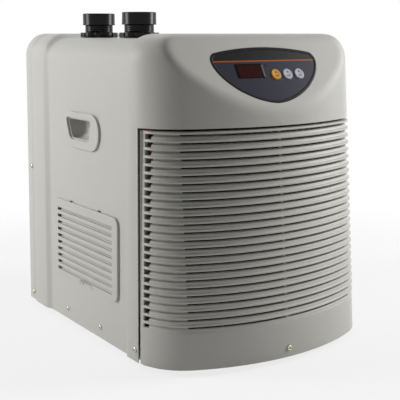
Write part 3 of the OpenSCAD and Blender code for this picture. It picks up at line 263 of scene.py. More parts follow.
def grain_group():
    """Height of a spark-eroded mould: small rounded pits of noise, and a slower ripple under them."""
    inputs = [("Scale", FLOAT, 900.0), ("Ripple", FLOAT, 0.3)]
    tree, given, out = new_group("moulded_grain", inputs, [("Height", FLOAT)])
    pits = noise(tree, given.outputs["Scale"], Detail=2.0, Roughness=0.6)
    height = maths(tree, "MULTIPLY_ADD", noise(tree, 24.0, Detail=1.0), given.outputs["Ripple"], pits)
    tree.links.new(height, out.inputs["Height"])
    return tree


TONE, GRAIN = tone_group(), grain_group()


# %% One maker for the plain finishes
def finish(name, colour, roughness, drift=0.02, grain=900.0, deep=0.00004, metallic=0.0, ripple=0.3, **sockets):
    """A shader whose colour and roughness drift, with a bump from the moulded grain."""
    made = bpy.data.materials.new(name)
    made.use_nodes = True
    tree = made.node_tree
    shader = tree.nodes["Principled BSDF"]
    tones = {"Colour": colour, "Drift": drift, "Roughness": roughness}
    tone = node(tree, "ShaderNodeGroup", tones, node_tree=TONE)
    pits = node(tree, "ShaderNodeGroup", {"Scale": grain, "Ripple": ripple}, node_tree=GRAIN)
    bump = node(tree, "ShaderNodeBump", {"Height": pits.outputs["Height"], "Distance": deep, "Strength": 1.0})
    tree.links.new(tone.outputs["Colour"], shader.inputs["Base Color"])
    tree.links.new(tone.outputs["Roughness"], shader.inputs["Roughness"])
    tree.links.new(bump.outputs["Normal"], shader.inputs["Normal"])
    shader.inputs["Metallic"].default_value = metallic
    for key, value in sockets.items():
        shader.inputs[key.replace("_", " ")].default_value = value
    return made


CASING = finish("casing_plastic", rgb(203, 202, 196), 0.45, drift=0.012, Specular_IOR_Level=0.3)
BLACK = finish("black_plastic", rgb(13, 13, 14), 0.2, drift=0.05, grain=500, deep=0.00001,
               Specular_IOR_Level=0.16)
RUBBER = finish("foot_rubber", rgb(22, 22, 22), 0.8, drift=0.08, grain=1400)
NICKEL = finish("nickel_plate", rgb(186, 178, 160), 0.24, drift=0.05, metallic=1.0, deep=0.00001)
STEEL = finish("galvanised_steel", rgb(150, 153, 156), 0.42, drift=0.1, metallic=1.0, ripple=1.5)
POT = finish("compressor_paint", rgb(32, 34, 37), 0.35, drift=0.06, ripple=1.0)
COPPER = finish("drawn_copper", rgb(184, 115, 74), 0.3, drift=0.1, metallic=1.0)
ALLOY = finish("fin_alloy", rgb(200, 203, 205), 0.35, drift=0.06, metallic=1.0)
TITANIUM = finish("titanium_tube", rgb(168, 162, 152), 0.34, drift=0.08, metallic=1.0)
DARK = finish("dark_moulding", rgb(38, 39, 42), 0.5, drift=0.06)
TANK = finish("tank_plastic", rgb(74, 77, 80), 0.45, drift=0.05)
WHITE = finish("white_box_plastic", rgb(224, 224, 219), 0.5, drift=0.03)
BOARD = finish("circuit_board", rgb(38, 84, 55), 0.35, drift=0.1, grain=300)
FOAM = finish("filter_foam", rgb(52, 52, 54), 0.95, drift=0.2, grain=700, deep=0.0006)
# Near-black filter mesh: partly its own dark colour, partly painted shade that keeps the grille's slots dark.
MESH = finish("filter_mesh_and_slot_shade", rgb(12, 12, 13), 0.9, drift=0.2, deep=0.0004, Specular_IOR_Level=0.1)
print("finishes:", len(bpy.data.materials))

# %% [markdown]
# ## The shape of the nose
# Seen from above, the nose is one wide bow with two rounded corners, and the
# whole outline leans back as it rises. The fascia is a flat cut across it. Both
# are written as distances, so a rounded edge is one formula: the rounded
# greatest of two distances. A ray from inside then finds the skin anywhere.

# %% Sizes of the cabinet, in millimetres
BODY_W, BODY_H = 385.0, 455.0
SIDE_LEAN, NOSE_LEAN = 7.8, 30.0
TOP_R, BOW_R, CORNER_R = 39.0, 345.0, 82.0
NOSE_D, BROW_D = 95.3, 6.6
TILT = math.radians(31)
SHOULDER_D, FASCIA_Z = 38.7, 330.0
CORNER_Y0 = -NOSE_D + BOW_R - math.sqrt((BOW_R - CORNER_R) ** 2 - (BODY_W / 2 - CORNER_R) ** 2)


def side_x(z):
    """Half width of the drafted sides: the foot's, less the lean in proportion to the height."""
    return BODY_W / 2 - SIDE_LEAN * z / BODY_H


def round_x(z, top, r):
    """Half width with the top edge rounded: below top - r the side, above it a quarter circle of radius r."""
    up = np.clip(z - top + r, 0, r)
    return np.where(z <= top - r, side_x(z), side_x(top - r) - r + np.sqrt(r * r - up * up))


def nose_centres(z, inset=0.0):
    """At height z: the corner centre's x and y, the bow centre's y, and the angle where bow and corner meet."""
    xc = round_x(z, BODY_H - inset, TOP_R - inset) - CORNER_R
    yc = CORNER_Y0 + NOSE_LEAN * z / BODY_H
    yb = yc + np.sqrt((BOW_R - CORNER_R) ** 2 - xc**2)
    return xc, yc, yb, np.arctan2(xc, yb - yc)


def nose_gap(x, y, z, inset=0.0):
    """How far a point lies outside the outline at its height: from the bow, the corner's circle or the side."""
    xc, yc, yb, meet = nose_centres(z, inset)
    side = np.abs(x)
    bow = np.hypot(side, yb - y) - (BOW_R - inset)
    corner = np.where(y < yc, np.hypot(side - xc, y - yc), side - xc) - (CORNER_R - inset)
    return np.where(np.arctan2(side, yb - y) <= meet, bow, corner)


def slope_gap(y, z):
    """How far a point lies in front of the flat fascia: its offset from the brow along the slope's normal."""
    return -(y + BROW_D) * math.cos(TILT) + (z - BODY_H) * math.sin(TILT)


def round_max(a, b, r):
    """The greater of two distances, with the edge between them rounded to radius r."""
    return np.minimum(np.maximum(a, b), -r) + np.hypot(np.maximum(a + r, 0), np.maximum(b + r, 0))


def soft_max(a, b, k):
    """The greater of two distances, plus (k - difference) squared over 4k where they differ by less than k."""
    return np.maximum(a, b) + np.maximum(k - np.abs(a - b), 0) ** 2 / (4 * k)


# %% [markdown]
# ## Front bezel
# The fascia and the two front shoulders are one moulding. It is cut into upright
# stations across the cabinet, like slices of a loaf. In each slice, rays leave a
# pivot near the top corner: level ones find the side, a fan finds the rounded
# edge, and upright ones find the top or the sloping fascia.

# %% Slices of the bezel
CREASE, BROW_R, EDGE_R = 5.0, 7.0, 2.6
BEZEL_WALL, LIP_BACK = 4.2, 4.6
PIVOT_R, RAY_END, NOSE_END = 46.0, 260.0, 120.0


def bezel_gap(x, y, z, inset):
    """Inside the bezel: within the nose, behind the fascia, under the top and in front of the shoulder's back."""
    gap = soft_max(nose_gap(x, y, z, inset), slope_gap(y, z) + inset, CREASE)
    gap = round_max(gap, z - (BODY_H - inset), BROW_R)
    return gap if inset else round_max(gap, y - SHOULDER_D, EDGE_R)


def last_inside(inside, near, far):
    """The last place between near and far that is still inside, by forty halvings of the whole array at once."""
    for _ in range(40):
        half = (near + far) / 2
        held = inside(half)
        near, far = np.where(held, half, near), np.where(held, far, half)
    return near


def reach(x, y, z, dx, dz, inset):
    """How far each ray runs before it leaves the bezel."""
    near = np.zeros(np.broadcast(x, y, z, dx, dz).shape)
    return last_inside(lambda t: bezel_gap(x + dx * t, y, z + dz * t, inset) < 0, near, near + RAY_END)


def front_y(x, inset):
    """Where the bezel's front lies at the fascia's foot."""
    near, far = np.zeros(len(x)), np.full(len(x), -NOSE_END)
    return last_inside(lambda y: bezel_gap(x, y, FASCIA_Z + 0.2, inset) < 0, near, far)


def seam_y(z):
    """The leaning seam between grille and shoulder: 0.5 mm ahead at the foot, 7.5 mm behind at the fascia."""
    return -0.5 + 8.0 * np.clip(z, 0, FASCIA_Z) / FASCIA_Z


def slices(y, low, sides=16, fan=22, top=36, inset=0.0):
    """Slices at the stations y: rows of points from the foot, up over the edge, to the middle and down again.
    Below the fascia a station is drawn back to the seam, most at the front and not at the shoulder's back."""
    y = y[:, None]
    z_top = np.minimum(BODY_H, BODY_H + (y + BROW_D) / math.tan(TILT))
    z_top = np.minimum(z_top, (y + NOSE_D) * BODY_H / NOSE_LEAN)
    foot = reach(0 * y, y, FASCIA_Z + 0 * y, 1.0, 0.0, 0.0)
    rx, rz = np.minimum(PIVOT_R, 0.5 * foot), np.minimum(PIVOT_R, 0.7 * (z_top - FASCIA_Z))
    kx, kz = foot - rx, z_top - rz
    level = FASCIA_Z + (kz - FASCIA_Z) * np.linspace(0, 1, sides, endpoint=False)
    turn = quarter(fan)[None]
    across = kx * np.linspace(1, 0, top)[None, 1:]
    drawn = y + (seam_y(low) + LIP_BACK) * np.clip(1 - y / SHOULDER_D, 0, 1)
    fx, fz = np.cos(turn) * rx, np.sin(turn) * rz
    size = np.maximum(np.hypot(fx, fz), 1e-9)
    # Each run of rays: its station, where it starts across and up, and its direction.
    runs = [(drawn, kx, low, 1.0, 0.0), (y, kx, level, 1.0, 0.0), (y, kx, kz, fx / size, fz / size)]
    runs.append((y, across, kz, 0.0, 1.0))
    runs = [np.broadcast_arrays(*run) for run in runs]
    ys, x0, z0, dx, dz = [np.concatenate(parts, 1) for parts in zip(*runs)]
    t = reach(x0, ys, z0, dx, dz, inset)
    half = np.stack([x0 + dx * t, ys, z0 + dz * t], -1)
    other = half[:, -2::-1] * (-1, 1, 1)
    return np.concatenate([half, other], 1)


# %% Stations from the front to the shoulder's back, and the wall they make
low = steps((0.0, 22), (FASCIA_Z - 0.4, 1))[None]
edge_x = np.concatenate([np.linspace(0, 140, 34), [146.0, 152, 158, 163, 168, 172, 175, 177.5]])
fronts = front_y(edge_x, 0.0)
fronts[0] += 0.02
back_y = SHOULDER_D - EDGE_R * (1 - np.sin(quarter(7)))
stations = np.unique(np.round(np.concatenate([fronts, [0.0], np.linspace(4, 34, 9), back_y]), 3))
drawn_in = front_y(np.zeros(1), BEZEL_WALL)[0] / stations[0]
outer = slices(stations, low)
inner = slices(np.where(stations < 0, stations * drawn_in, stations), low, inset=BEZEL_WALL)
for skin in (outer, inner):
    skin[0, :, 2] = np.minimum(skin[0, :, 2], FASCIA_Z)
# The shoulder thins to a lip at the seam, so the gap beside the grille shows dark.
thin = np.where(stations < 0, 1.0, np.interp(stations, [0, 6, 14], [0.25, 0.35, 1.0]))[:, None, None]
kept = np.ones((outer.shape[0] - 1, outer.shape[1] - 1), bool)
for legs in (slice(0, low.shape[1]), slice(-low.shape[1], None)):
    inner[:, legs] = outer[:, legs] + (inner[:, legs] - outer[:, legs]) * thin
    kept[stations[1:] <= 0.0, legs] = False
bezel_patch = wall_of(outer, inner, kept)
print("bezel stations:", len(stations), "points a slice:", outer.shape[1])

# %% [markdown]
# ## The panel's place on the fascia
# The fascia has its own flat ruler: x across, up the slope towards the brow, and
# out of the surface. The panel's half-moon outline is written there once, and
# the recess, the panel and its border all come from it.

# %% Flat rulers, the fascia's own, and the half-moon outline
def flat_ruler(origin, first, second, third):
    """A ruler along three directions: the origin plus each of three numbers times its own direction."""
    ways = np.array([first, second, third], float)

    def place(a, b, c):
        return np.array(origin, float) + np.stack(np.broadcast_arrays(a, b, c), -1) @ ways

    return place


# Across, up the slope (so below the brow is negative), and out of the flat.
on_fascia = flat_ruler((0, -BROW_D, BODY_H), (1, 0, 0), (0, math.sin(TILT), math.cos(TILT)),
                       (0, -math.cos(TILT), math.sin(TILT)))
PANEL_W, PANEL_H, PANEL_DROP = 186.0, 88.0, 22.2
SIDE_DROP, ARCH_DROP, ARCH_X = 21.8, 7.5, 80.0
FULLNESS = 1.68


def moon(grow=0.0, count=160):
    """The half-moon: below, |x/a| and |y/b| to the power FULLNESS add up to one; round shoulders; an arc above."""
    shoulder = -PANEL_DROP - SIDE_DROP
    t = np.radians(np.linspace(180, 360, 90))
    bent = np.abs(np.stack([np.cos(t), np.sin(t)])) ** (2 / FULLNESS) * np.sign([np.cos(t), np.sin(t)])
    low_edge = np.stack([PANEL_W / 2 * bent[0], shoulder + (PANEL_H - SIDE_DROP) * bent[1]], -1)
    t = np.radians(np.linspace(12, 66, 10))
    turn_x, turn_up = (PANEL_W / 2 - ARCH_X) * np.cos(t), (SIDE_DROP - ARCH_DROP) * np.sin(t)
    turn = np.stack([ARCH_X + turn_x, shoulder + turn_up], -1)
    arch_r = (ARCH_X**2 + ARCH_DROP**2) / (2 * ARCH_DROP)
    t = np.linspace(1, -1, 60) * math.asin(ARCH_X * 0.97 / arch_r)
    high = np.stack([arch_r * np.sin(t), -PANEL_DROP - arch_r + arch_r * np.cos(t)], -1)
    line = np.concatenate([low_edge, turn, high, turn[::-1] * (-1, 1)])
    return grown(even(line, count), grow)


def even(line, count):
    """A closed outline walked again at even spacing."""
    loop = np.concatenate([line, line[:1]])
    walked = np.concatenate([[0], np.cumsum(np.linalg.norm(np.diff(loop, axis=0), axis=1))])
    at = np.linspace(0, walked[-1], count, endpoint=False)
    return np.stack([np.interp(at, walked, loop[:, 0]), np.interp(at, walked, loop[:, 1])], -1)


def grown(line, by):
    """A right-handed closed outline moved outwards along its own normals."""
    along = np.roll(line, -1, 0) - np.roll(line, 1, 0)
    along /= np.linalg.norm(along, axis=1, keepdims=True)
    return line + by * np.stack([along[:, 1], -along[:, 0]], -1)


def stack_loops(place, loops):
    """Closed loops (outline, out) placed by a ruler, as one wrapped grid whose first and last rows close to points."""
    return capped([place(line[:, 0], line[:, 1], out) for line, out in loops])


# %% Cut the recess and place the bezel
RECESS, RECESS_GAP = 2.9, 0.2
recess = stack_loops(on_fascia, [(moon(RECESS_GAP), -RECESS), (moon(RECESS_GAP), 12.0)])
bezel = cut(mesh_from("front_bezel_skin", [bezel_patch]), [recess])
piece("front_bezel_skin", bezel, "cabinet", CASING, "casing", "front_bezel")

# %% [markdown]
# ## Main casing
# Behind the front shoulder the casing is a plain arch, set in by the step of the
# shoulder, until a short ramp lifts it to the rear shoulder. Each station is the
# same outline with its own inset, so the skin is a loft: rows of one outline. The
# hatch openings, the pockets and the port holes are cut out of the finished loft.

# %% The arch at a station, and the side wall's ruler
WALL = 3.0
LEAN = math.atan(SIDE_LEAN / BODY_H)
REAR_SEAM, REAR_Y = 358.0, 392.7
SIDE_STEP, TOP_STEP = 4.5, 6.5


def arch(y, in_side, in_top, foot=0.0, rows=10, turns=14, tops=16):
    """Outline across the cabinet: up the drafted side, a quarter circle of TOP_R less the inset, over the top."""
    r = TOP_R - in_side
    cz = BODY_H - in_top - r
    cx = side_x(cz) - in_side - r
    z = np.linspace(foot, cz, rows, endpoint=False)
    t = quarter(turns)
    x = np.concatenate([side_x(z) - in_side, cx + r * np.cos(t), cx * np.linspace(1, 0, tops)[1:]])
    z = np.concatenate([z, cz + r * np.sin(t), np.full(tops - 1, cz + r)])
    half = np.stack([x, np.full_like(x, y), z], -1)
    return np.concatenate([half, half[-2::-1] * (-1, 1, 1)])


def on_side(sign):
    """The leaning wall's ruler, at the left for -1 and the right for 1: to the rear, up the wall, and out of it."""
    sin, cos = math.sin(LEAN), math.cos(LEAN)
    return flat_ruler((sign * BODY_W / 2, 0, 0), (0, 1, 0), (-sign * sin, 0, cos), (sign * cos, 0, sin))


SIDES = (("left", on_side(-1)), ("right", on_side(1)))


def box_line(w, h, r, turns=7, at=(0.0, 0.0)):
    """A rounded box as a closed outline: four quarter circles of radius r about the box's inner corners."""
    t = quarter(turns)
    parts = []
    for i, (sx, sy) in enumerate([(1, 1), (-1, 1), (-1, -1), (1, -1)]):
        a = t + i * math.pi / 2
        parts.append(np.stack([sx * (w / 2 - r) + r * np.cos(a), sy * (h / 2 - r) + r * np.sin(a)], -1))
    return np.concatenate(parts) + at


def prism(place, line, low_out, high_out):
    """A closed outline carried straight out of a ruler's surface between two heights."""
    return stack_loops(place, [(line, low_out), (line, high_out)])


def soft_line(corners, r, turns=8):
    """A polygon whose corners are each replaced by a quadratic curve that starts and ends r from the corner."""
    p = np.asarray(corners, float)
    t = np.linspace(0, 1, turns)[:, None]
    out = []
    for a, b, c in zip(np.roll(p, 1, 0), p, np.roll(p, -1, 0)):
        u, v = (a - b) / np.linalg.norm(a - b), (c - b) / np.linalg.norm(c - b)
        out.append((1 - t) ** 2 * (b + r * u) + 2 * t * (1 - t) * b + t**2 * (b + r * v))
    return np.concatenate(out)


# %% Loft the casing and cut its openings
PORT_X, PORT_YS, TAB_YS = -112.0, (129.0, 257.0), (127.0, 222.0)
RIM_R, RAMP_Y0, RAMP_L = 1.2, 298, 17
ramp = np.linspace(0, 1, 9)
ease = ramp * ramp * (3 - 2 * ramp)
rim = quarter(5)
casing_y = np.concatenate([[39.1], np.linspace(60, 290, 8), RAMP_Y0 + RAMP_L * ramp, [335.0, 350.0],
                           REAR_SEAM - RIM_R + RIM_R * np.sin(rim)])
casing_in = np.concatenate([np.ones(9), 1 - ease, np.zeros(2 + len(rim))])
rounding = np.concatenate([np.zeros(9 + 9 + 2), RIM_R - RIM_R * np.cos(rim)])


def casing_skin(further):
    """The casing's stations, each set in by its share of the shoulder's step and by a further inset."""
    rows = zip(casing_y, casing_in, np.broadcast_to(further, casing_y.shape))
    return np.stack([arch(y, SIDE_STEP * k + e, TOP_STEP * k + e) for y, k, e in rows])


HATCH_HOLE, HATCH_HOLE_AT, TAB_HOLE, TAB_UP = (199, 111, 8), (174.5, 133.5), (10.6, 7, 0.4), 193.5
PORT_HOLE_R, HOLE_IN, HOLE_OUT, POCKET_GAP = 22.3, -14, 2, 2.3
pocket_line = soft_line([(232.0, 329.0), (218.0, 295.5), (155.0, 295.5), (147.0, 329.0)], 9.0)
side_holes = [box_line(*HATCH_HOLE, at=HATCH_HOLE_AT)]
side_holes += [box_line(*TAB_HOLE, turns=2, at=(y, TAB_UP)) for y in TAB_YS]
side_holes.append(grown(even(pocket_line, 120), POCKET_GAP))
cutters = [prism(side, line, HOLE_IN, HOLE_OUT) for _, side in SIDES for line in side_holes]


def upright(x0, y0):
    """A ruler for round things that stand on the top: across, to the rear, and up."""
    return flat_ruler((x0, y0, 0), (1, 0, 0), (0, 1, 0), (0, 0, 1))


def circle(r, count=48):
    """A round outline of radius r."""
    t = full_turn(count)
    return np.stack([r * np.cos(t), r * np.sin(t)], -1)


cutters += [prism(upright(PORT_X, y), circle(PORT_HOLE_R), 440, 460) for y in PORT_YS]
casing = cut(mesh_from("main_casing_skin", [wall_of(casing_skin(rounding), casing_skin(WALL))]), cutters)
piece("main_casing_skin", casing, "cabinet", CASING, "casing", "main_casing")

# %% [markdown]
# ## Rear panel
# The rear panel is a shallow tray with a rounded rim and two columns of exhaust
# slots. Its sides are the casing's outline again. Its flat back is the same
# outline drawn towards the middle line, which closes it without a fan of slivers.

# %% Loft the rear panel, then cut the exhaust and the socket's hole
EDGE, SET_IN = 7.0, 2.8
turn = quarter(8)[1:]
tray_y = np.concatenate([[360.0, 361.0, 372.0, REAR_Y - EDGE], REAR_Y - EDGE + EDGE * np.sin(turn)])
tray_in = np.concatenate([[3.4, SET_IN, SET_IN, SET_IN], SET_IN + EDGE - EDGE * np.cos(turn)])


def tray_skin(wall):
    """The tray's stations, then its last one drawn in steps to the middle line, so the back is closed."""
    rows = [arch(min(y, REAR_Y - wall), e + wall, e - SET_IN + wall) for y, e in zip(tray_y, tray_in)]
    return np.stack(rows + [rows[-1] * (k, 1, 1) for k in np.linspace(1, 0, 9)[1:]])


# Both halves of the back end on the middle line, so the rim's faces there would lie inside: they go.
tray_points, tray_quads = wall_of(tray_skin(0.0), tray_skin(WALL))
off_middle = np.abs(tray_points[tray_quads][..., 0]).max(1) > 0.01


on_back = flat_ruler((0, REAR_Y, 0), (1, 0, 0), (0, 0, 1), (0, 1, 0))
EXHAUST, EXHAUST_X, EXHAUST_Z, EXHAUST_STEP, EXHAUST_ROWS = (97, 5, 1.6), 51.5, 132.5, 13, 16
SOCKET, SOCKET_AT, BACK_CUT = (28.6, 21.6, 2), (105.0, 62.0), (-8, 4)
places = [(s * EXHAUST_X, EXHAUST_Z + EXHAUST_STEP * i) for i in range(EXHAUST_ROWS) for s in (-1, 1)]
lines = [box_line(*EXHAUST, turns=4, at=at) for at in places] + [box_line(*SOCKET, turns=4, at=SOCKET_AT)]
holes = [prism(on_back, line, *BACK_CUT) for line in lines]
rear = cut(mesh_from("rear_panel_skin", [(tray_points, tray_quads[off_middle])]), holes)
piece("rear_panel_skin", rear, "cabinet", CASING, "casing", "rear_panel")

# %% [markdown]
# ## Front grille
# The grille is a bowed wall that leans into the cabinet as it rises, with
# twenty-five drooping fins, an air slot under each, and a ladder of small cells
# at either end. It is one moulding, so it is one grid: columns follow the bow and
# the corners, rows climb through each fin's profile, and only the depth changes.
# Slots and cells are cells of the grid that are left out.

# %% The depths of one fin's pitch, and the rows they stand on
PROUD, SKIRT_H, CROWN, FINS = 1.2, 53.5, 3.5, 25
PITCH = (FASCIA_Z - SKIRT_H - CROWN) / FINS
FIN_T, SLOT_H, UNDERCUT = 3.5, 2.9, 2.2
GRILLE_TOP = FASCIA_Z - 3.0


def groove(z):
    """Depth of the wall behind the fins: 1 mm at the skirt, 5.8 mm at the fascia, in a straight line."""
    return 1.0 + 4.8 * (z - SKIRT_H) / (FASCIA_Z - SKIRT_H)


FLAT = 7
rise = np.array([0.0, 0.12, 0.35, 0.9, 1.6, 2.3, 2.9, FIN_T, 3.7, 4.4, 5.4, 6.4, 7.0, 7.35, 7.55, PITCH - SLOT_H])
of_groove = np.array([1.0] + [0.0] * 6 + [0.10, 0.28, 0.36, 0.41, 0.46, 0.53, 0.63, 0.80, 1.0])
of_proud = np.array([0.0, 0.1, 0.55, 0.9, 1.0, 0.92, 0.6, 0.1] + [0.0] * 8)
base = SKIRT_H + PITCH - FIN_T + PITCH * np.arange(FINS)
fin_z = (base[:, None] + rise).reshape(-1)
fin_depth = groove(fin_z) * np.tile(of_groove, FINS) - PROUD * np.tile(of_proud, FINS)
fin_depth += UNDERCUT * np.tile(of_groove == 1.0, FINS)
first = rise[FLAT:] + SKIRT_H - FIN_T
skirt_z = np.array([0.0, 0.25, 0.8, 1.6, 12, 24, 36, 46, SKIRT_H - 1.8, SKIRT_H - 1.0, SKIRT_H - 0.5])
skirt_depth = np.array([1.3, 0.6, 0.15, 0.0, 0, 0, 0, 0, 0.0, 0.12, 0.4])
keep = fin_z < GRILLE_TOP - 0.6
row_z = np.concatenate([skirt_z, first, fin_z[keep], [GRILLE_TOP]])
top_depth = 0.9 * groove(GRILLE_TOP)
row_depth = np.concatenate([skirt_depth, groove(first) * of_groove[FLAT:], fin_depth[keep], [top_depth]])
row_rise = np.concatenate([np.full(len(skirt_z), -1.0), rise[FLAT:], np.tile(rise, FINS)[keep], [PITCH]])
print("grille rows:", len(row_z))

# %% Columns along the bow and round the corners, and the wall they make
RIM, STRIP, CELL_END, SLOT_X = 0.3, 6.4, 16.0, 148.0
ON_BOW, TO_SLOT_END, TO_CELLS, IN_CELLS = 20, 2, 9, 3
RIB_HALF, STRIP_SHARE, SEAM_STEP = 2.0, 0.45, 0.25


def grille_point(z, turn, depth):
    """A point at a height, an angle and a depth: on the bow's circle, or past the meeting angle on the corner's."""
    xc, yc, yb, meet = nose_centres(z)
    x = np.where(turn <= meet, (BOW_R - depth) * np.sin(turn), xc + (CORNER_R - depth) * np.sin(turn))
    y = np.where(turn <= meet, yb - (BOW_R - depth) * np.cos(turn), yc - (CORNER_R - depth) * np.cos(turn))
    return np.stack([x, y, z + 0 * x], -1)


z = row_z[:, None]
xc, yc, yb, meet = nose_centres(z)
seam = seam_y(z)


def turn_at(s):
    """Angle at which the corner lies s millimetres ahead of the seam: the arc cosine of its rise over the radius."""
    return np.arccos((yc - seam + s) / CORNER_R)


def between(a, b, count):
    """Angles evenly between two columns of angles, the first left out."""
    return a + (b - a) * np.linspace(0, 1, count + 1)[None, 1:]


past_slot = np.arcsin((SLOT_X - xc) / CORNER_R)
rib = np.arcsin(RIB_HALF / BOW_R) + 0 * z
strip_at, cell_at, wall_at = turn_at(STRIP), turn_at(CELL_END), turn_at(RIM + 0.55)
turns = np.concatenate([
    0 * z, rib, between(rib, meet, ON_BOW), between(meet, past_slot, TO_SLOT_END),
    between(past_slot, cell_at, TO_CELLS), between(cell_at, strip_at, IN_CELLS), strip_at,
    wall_at, turn_at(RIM + 0.5), turn_at(RIM)], 1)
count = turns.shape[1]
fade = np.ones(count)
fade[-8:-4] = (1.0, 0.8, 0.42, 0.0)
is_fin = (row_z > SKIRT_H)[:, None]
floor_depth = np.where(is_fin, STRIP_SHARE * groove(z), 0.0)
depth = row_depth[:, None] * fade + floor_depth * (1 - fade)
depth[:, -4:-2] = np.where(is_fin, floor_depth, row_depth[:, None])
depth[:, -2:] = np.where(is_fin, SEAM_STEP, row_depth[:, None] + SEAM_STEP)
behind = np.maximum(np.where(is_fin, groove(z) + WALL, WALL), depth + 1.0)


def both_halves(half_depth):
    """The right half's points, kept in front of the seam, with their mirror image put before them."""
    half = grille_point(z, turns, half_depth)
    half[..., 1] = np.minimum(half[..., 1], seam - RIM)
    return np.concatenate([half[:, :0:-1] * (-1, 1, 1), half], 1)


level, column = row_rise[:-1, None], np.arange(count - 1)
in_slot = (level >= PITCH - SLOT_H - 0.01) & (level < PITCH - 0.01)
in_cell = (level >= FIN_T - 0.01) & (row_z[:-1, None] > SKIRT_H + 1)
slot_end = 1 + ON_BOW + TO_SLOT_END
cell_start = slot_end + TO_CELLS
open_half = in_slot & (column >= 1) & (column < slot_end)
open_half |= in_cell & (column >= cell_start) & (column < cell_start + IN_CELLS)
kept = ~np.concatenate([open_half[:, ::-1], open_half], 1)
grille_wall = wall_of(both_halves(depth), both_halves(behind), kept)
grille = mesh_from("front_grille_skin", [grille_wall], weld=0.002, sharp=38)
piece("front_grille_skin", grille, "cabinet", CASING, "casing", "front_grille")
print("slots:", int(in_slot.sum()), "columns a side:", count)

# %% [markdown]
# ## Control panel
# The panel is a dark moulded plate with a smooth printed label: a black band on
# top, a thin burnt-orange line, and navy below, all inside a black border. The
# plate is a stack of half-moon loops, each a little inside the last. Its colours
# are bands of two numbers, and the mesh keeps both as a UV map: how far across
# and how far up the slope a point is.

# %% Places on the panel, and a map of its ruler
LABEL_OUT, BORDER, PANEL_CUT = 0.1, 4.3, (-5, 3)
WINDOW_X, WINDOW_UP, WINDOW_W, WINDOW_H = -32.0, -PANEL_DROP - 37.2, 49.0, 22.5
LAMP_X, LAMP_UP, LAMP_R = -2.0, -PANEL_DROP - 28.8, 1.6
BUTTON_X0, BUTTON_PITCH, BUTTON_UP, BUTTON_R = 10.5, 21.0, -PANEL_DROP - 43.8, 8.25


def cabinet_points(mesh):
    """A mesh's vertices turned back from row metres to cabinet millimetres."""
    at = np.empty(len(mesh.vertices) * 3, np.float32)
    mesh.vertices.foreach_get("co", at)
    return at.reshape(-1, 3) / MM - (0.0, SEAM_Y, FOOT_H)


def fascia_uv(mesh):
    """A map at the face corners: U is the distance across and V the distance up the slope, in metres."""
    at = cabinet_points(mesh)
    up = (at[:, 1] + BROW_D) * math.sin(TILT) + (at[:, 2] - BODY_H) * math.cos(TILT)
    corner = np.empty(len(mesh.loops), np.int32)
    mesh.loops.foreach_get("vertex_index", corner)
    pair = np.stack([at[:, 0], up], -1)[corner] * MM
    layer = mesh.uv_layers[0] if mesh.uv_layers else mesh.uv_layers.new(name="ruler")
    layer.data.foreach_set("uv", pair.reshape(-1).astype(np.float32))


# %% The panel's plate, with its holes cut
window_at, lamp_at = (WINDOW_X, WINDOW_UP), (LAMP_X, LAMP_UP)
key_x = BUTTON_X0 + BUTTON_PITCH * np.arange(3)
plate_loops = [(moon(-0.4), -2.6), (moon(), -2.2), (moon(), 0.1), (moon(-0.25), 0.45), (moon(-0.8), 0.6),
               (moon(-BORDER + 0.7), 0.6), (moon(-BORDER + 0.2), 0.45), (moon(-BORDER), LABEL_OUT)]
hole_lines = [circle(BUTTON_R + 0.35) + (x, BUTTON_UP) for x in key_x]
hole_lines += [box_line(WINDOW_W, WINDOW_H, 1.5, at=window_at), circle(LAMP_R + 0.2, 24) + lamp_at]
panel_holes = [prism(on_fascia, line, *PANEL_CUT) for line in hole_lines]
panel = cut(mesh_from("control_panel_face", [stack_loops(on_fascia, plate_loops)]), panel_holes)
fascia_uv(panel)
# The border stands above the label, and a mask tells the two apart.
at = cabinet_points(panel)
border = np.where(np.abs(slope_gap(at[:, 1], at[:, 2]) - LABEL_OUT) < 0.03, 0.0, 1.0)
panel.attributes.new("border", "FLOAT", "POINT").data.foreach_set("value", border.astype(np.float32))


# %% The label's colours, from bands of its map
def above(tree, value, limit, soft=0.00008):
    """A mask that climbs from 0 to 1 where a value passes a limit, over a narrow soft width."""
    ends = {"Value": value, "From Min": limit - soft, "From Max": limit + soft}
    return node(tree, "ShaderNodeMapRange", ends, interpolation_type="SMOOTHSTEP").outputs[0]


def below(tree, value, limit, soft=0.00008):
    """The opposite mask: 1 less the one above the limit."""
    return maths(tree, "SUBTRACT", 1.0, above(tree, value, limit, soft))


def both(tree, a, b):
    """Two masks or values multiplied."""
    return maths(tree, "MULTIPLY", a, b)


def less(tree, a, b):
    """The second value taken from the first."""
    return maths(tree, "SUBTRACT", a, b)


def blend(tree, factor, a, b):
    """Colour a where the factor is 0 and colour b where it is 1."""
    return node(tree, "ShaderNodeMix", {"Factor": factor, "A": a, "B": b}, data_type="RGBA").outputs["Result"]


def painted(name, roughness, **sockets):
    """A finish to be painted: the material, its tree, the tone's colour socket, and the map's across and up."""
    made = finish(name, rgb(128, 128, 128), roughness, **sockets)
    tree = made.node_tree
    tone = next(n for n in tree.nodes if n.type == "GROUP" and n.node_tree == TONE)
    place = node(tree, "ShaderNodeUVMap", uv_map="ruler").outputs["UV"]
    apart = node(tree, "ShaderNodeSeparateXYZ", {"Vector": place}).outputs
    return made, tree, tone.inputs["Colour"], apart["X"], apart["Y"]


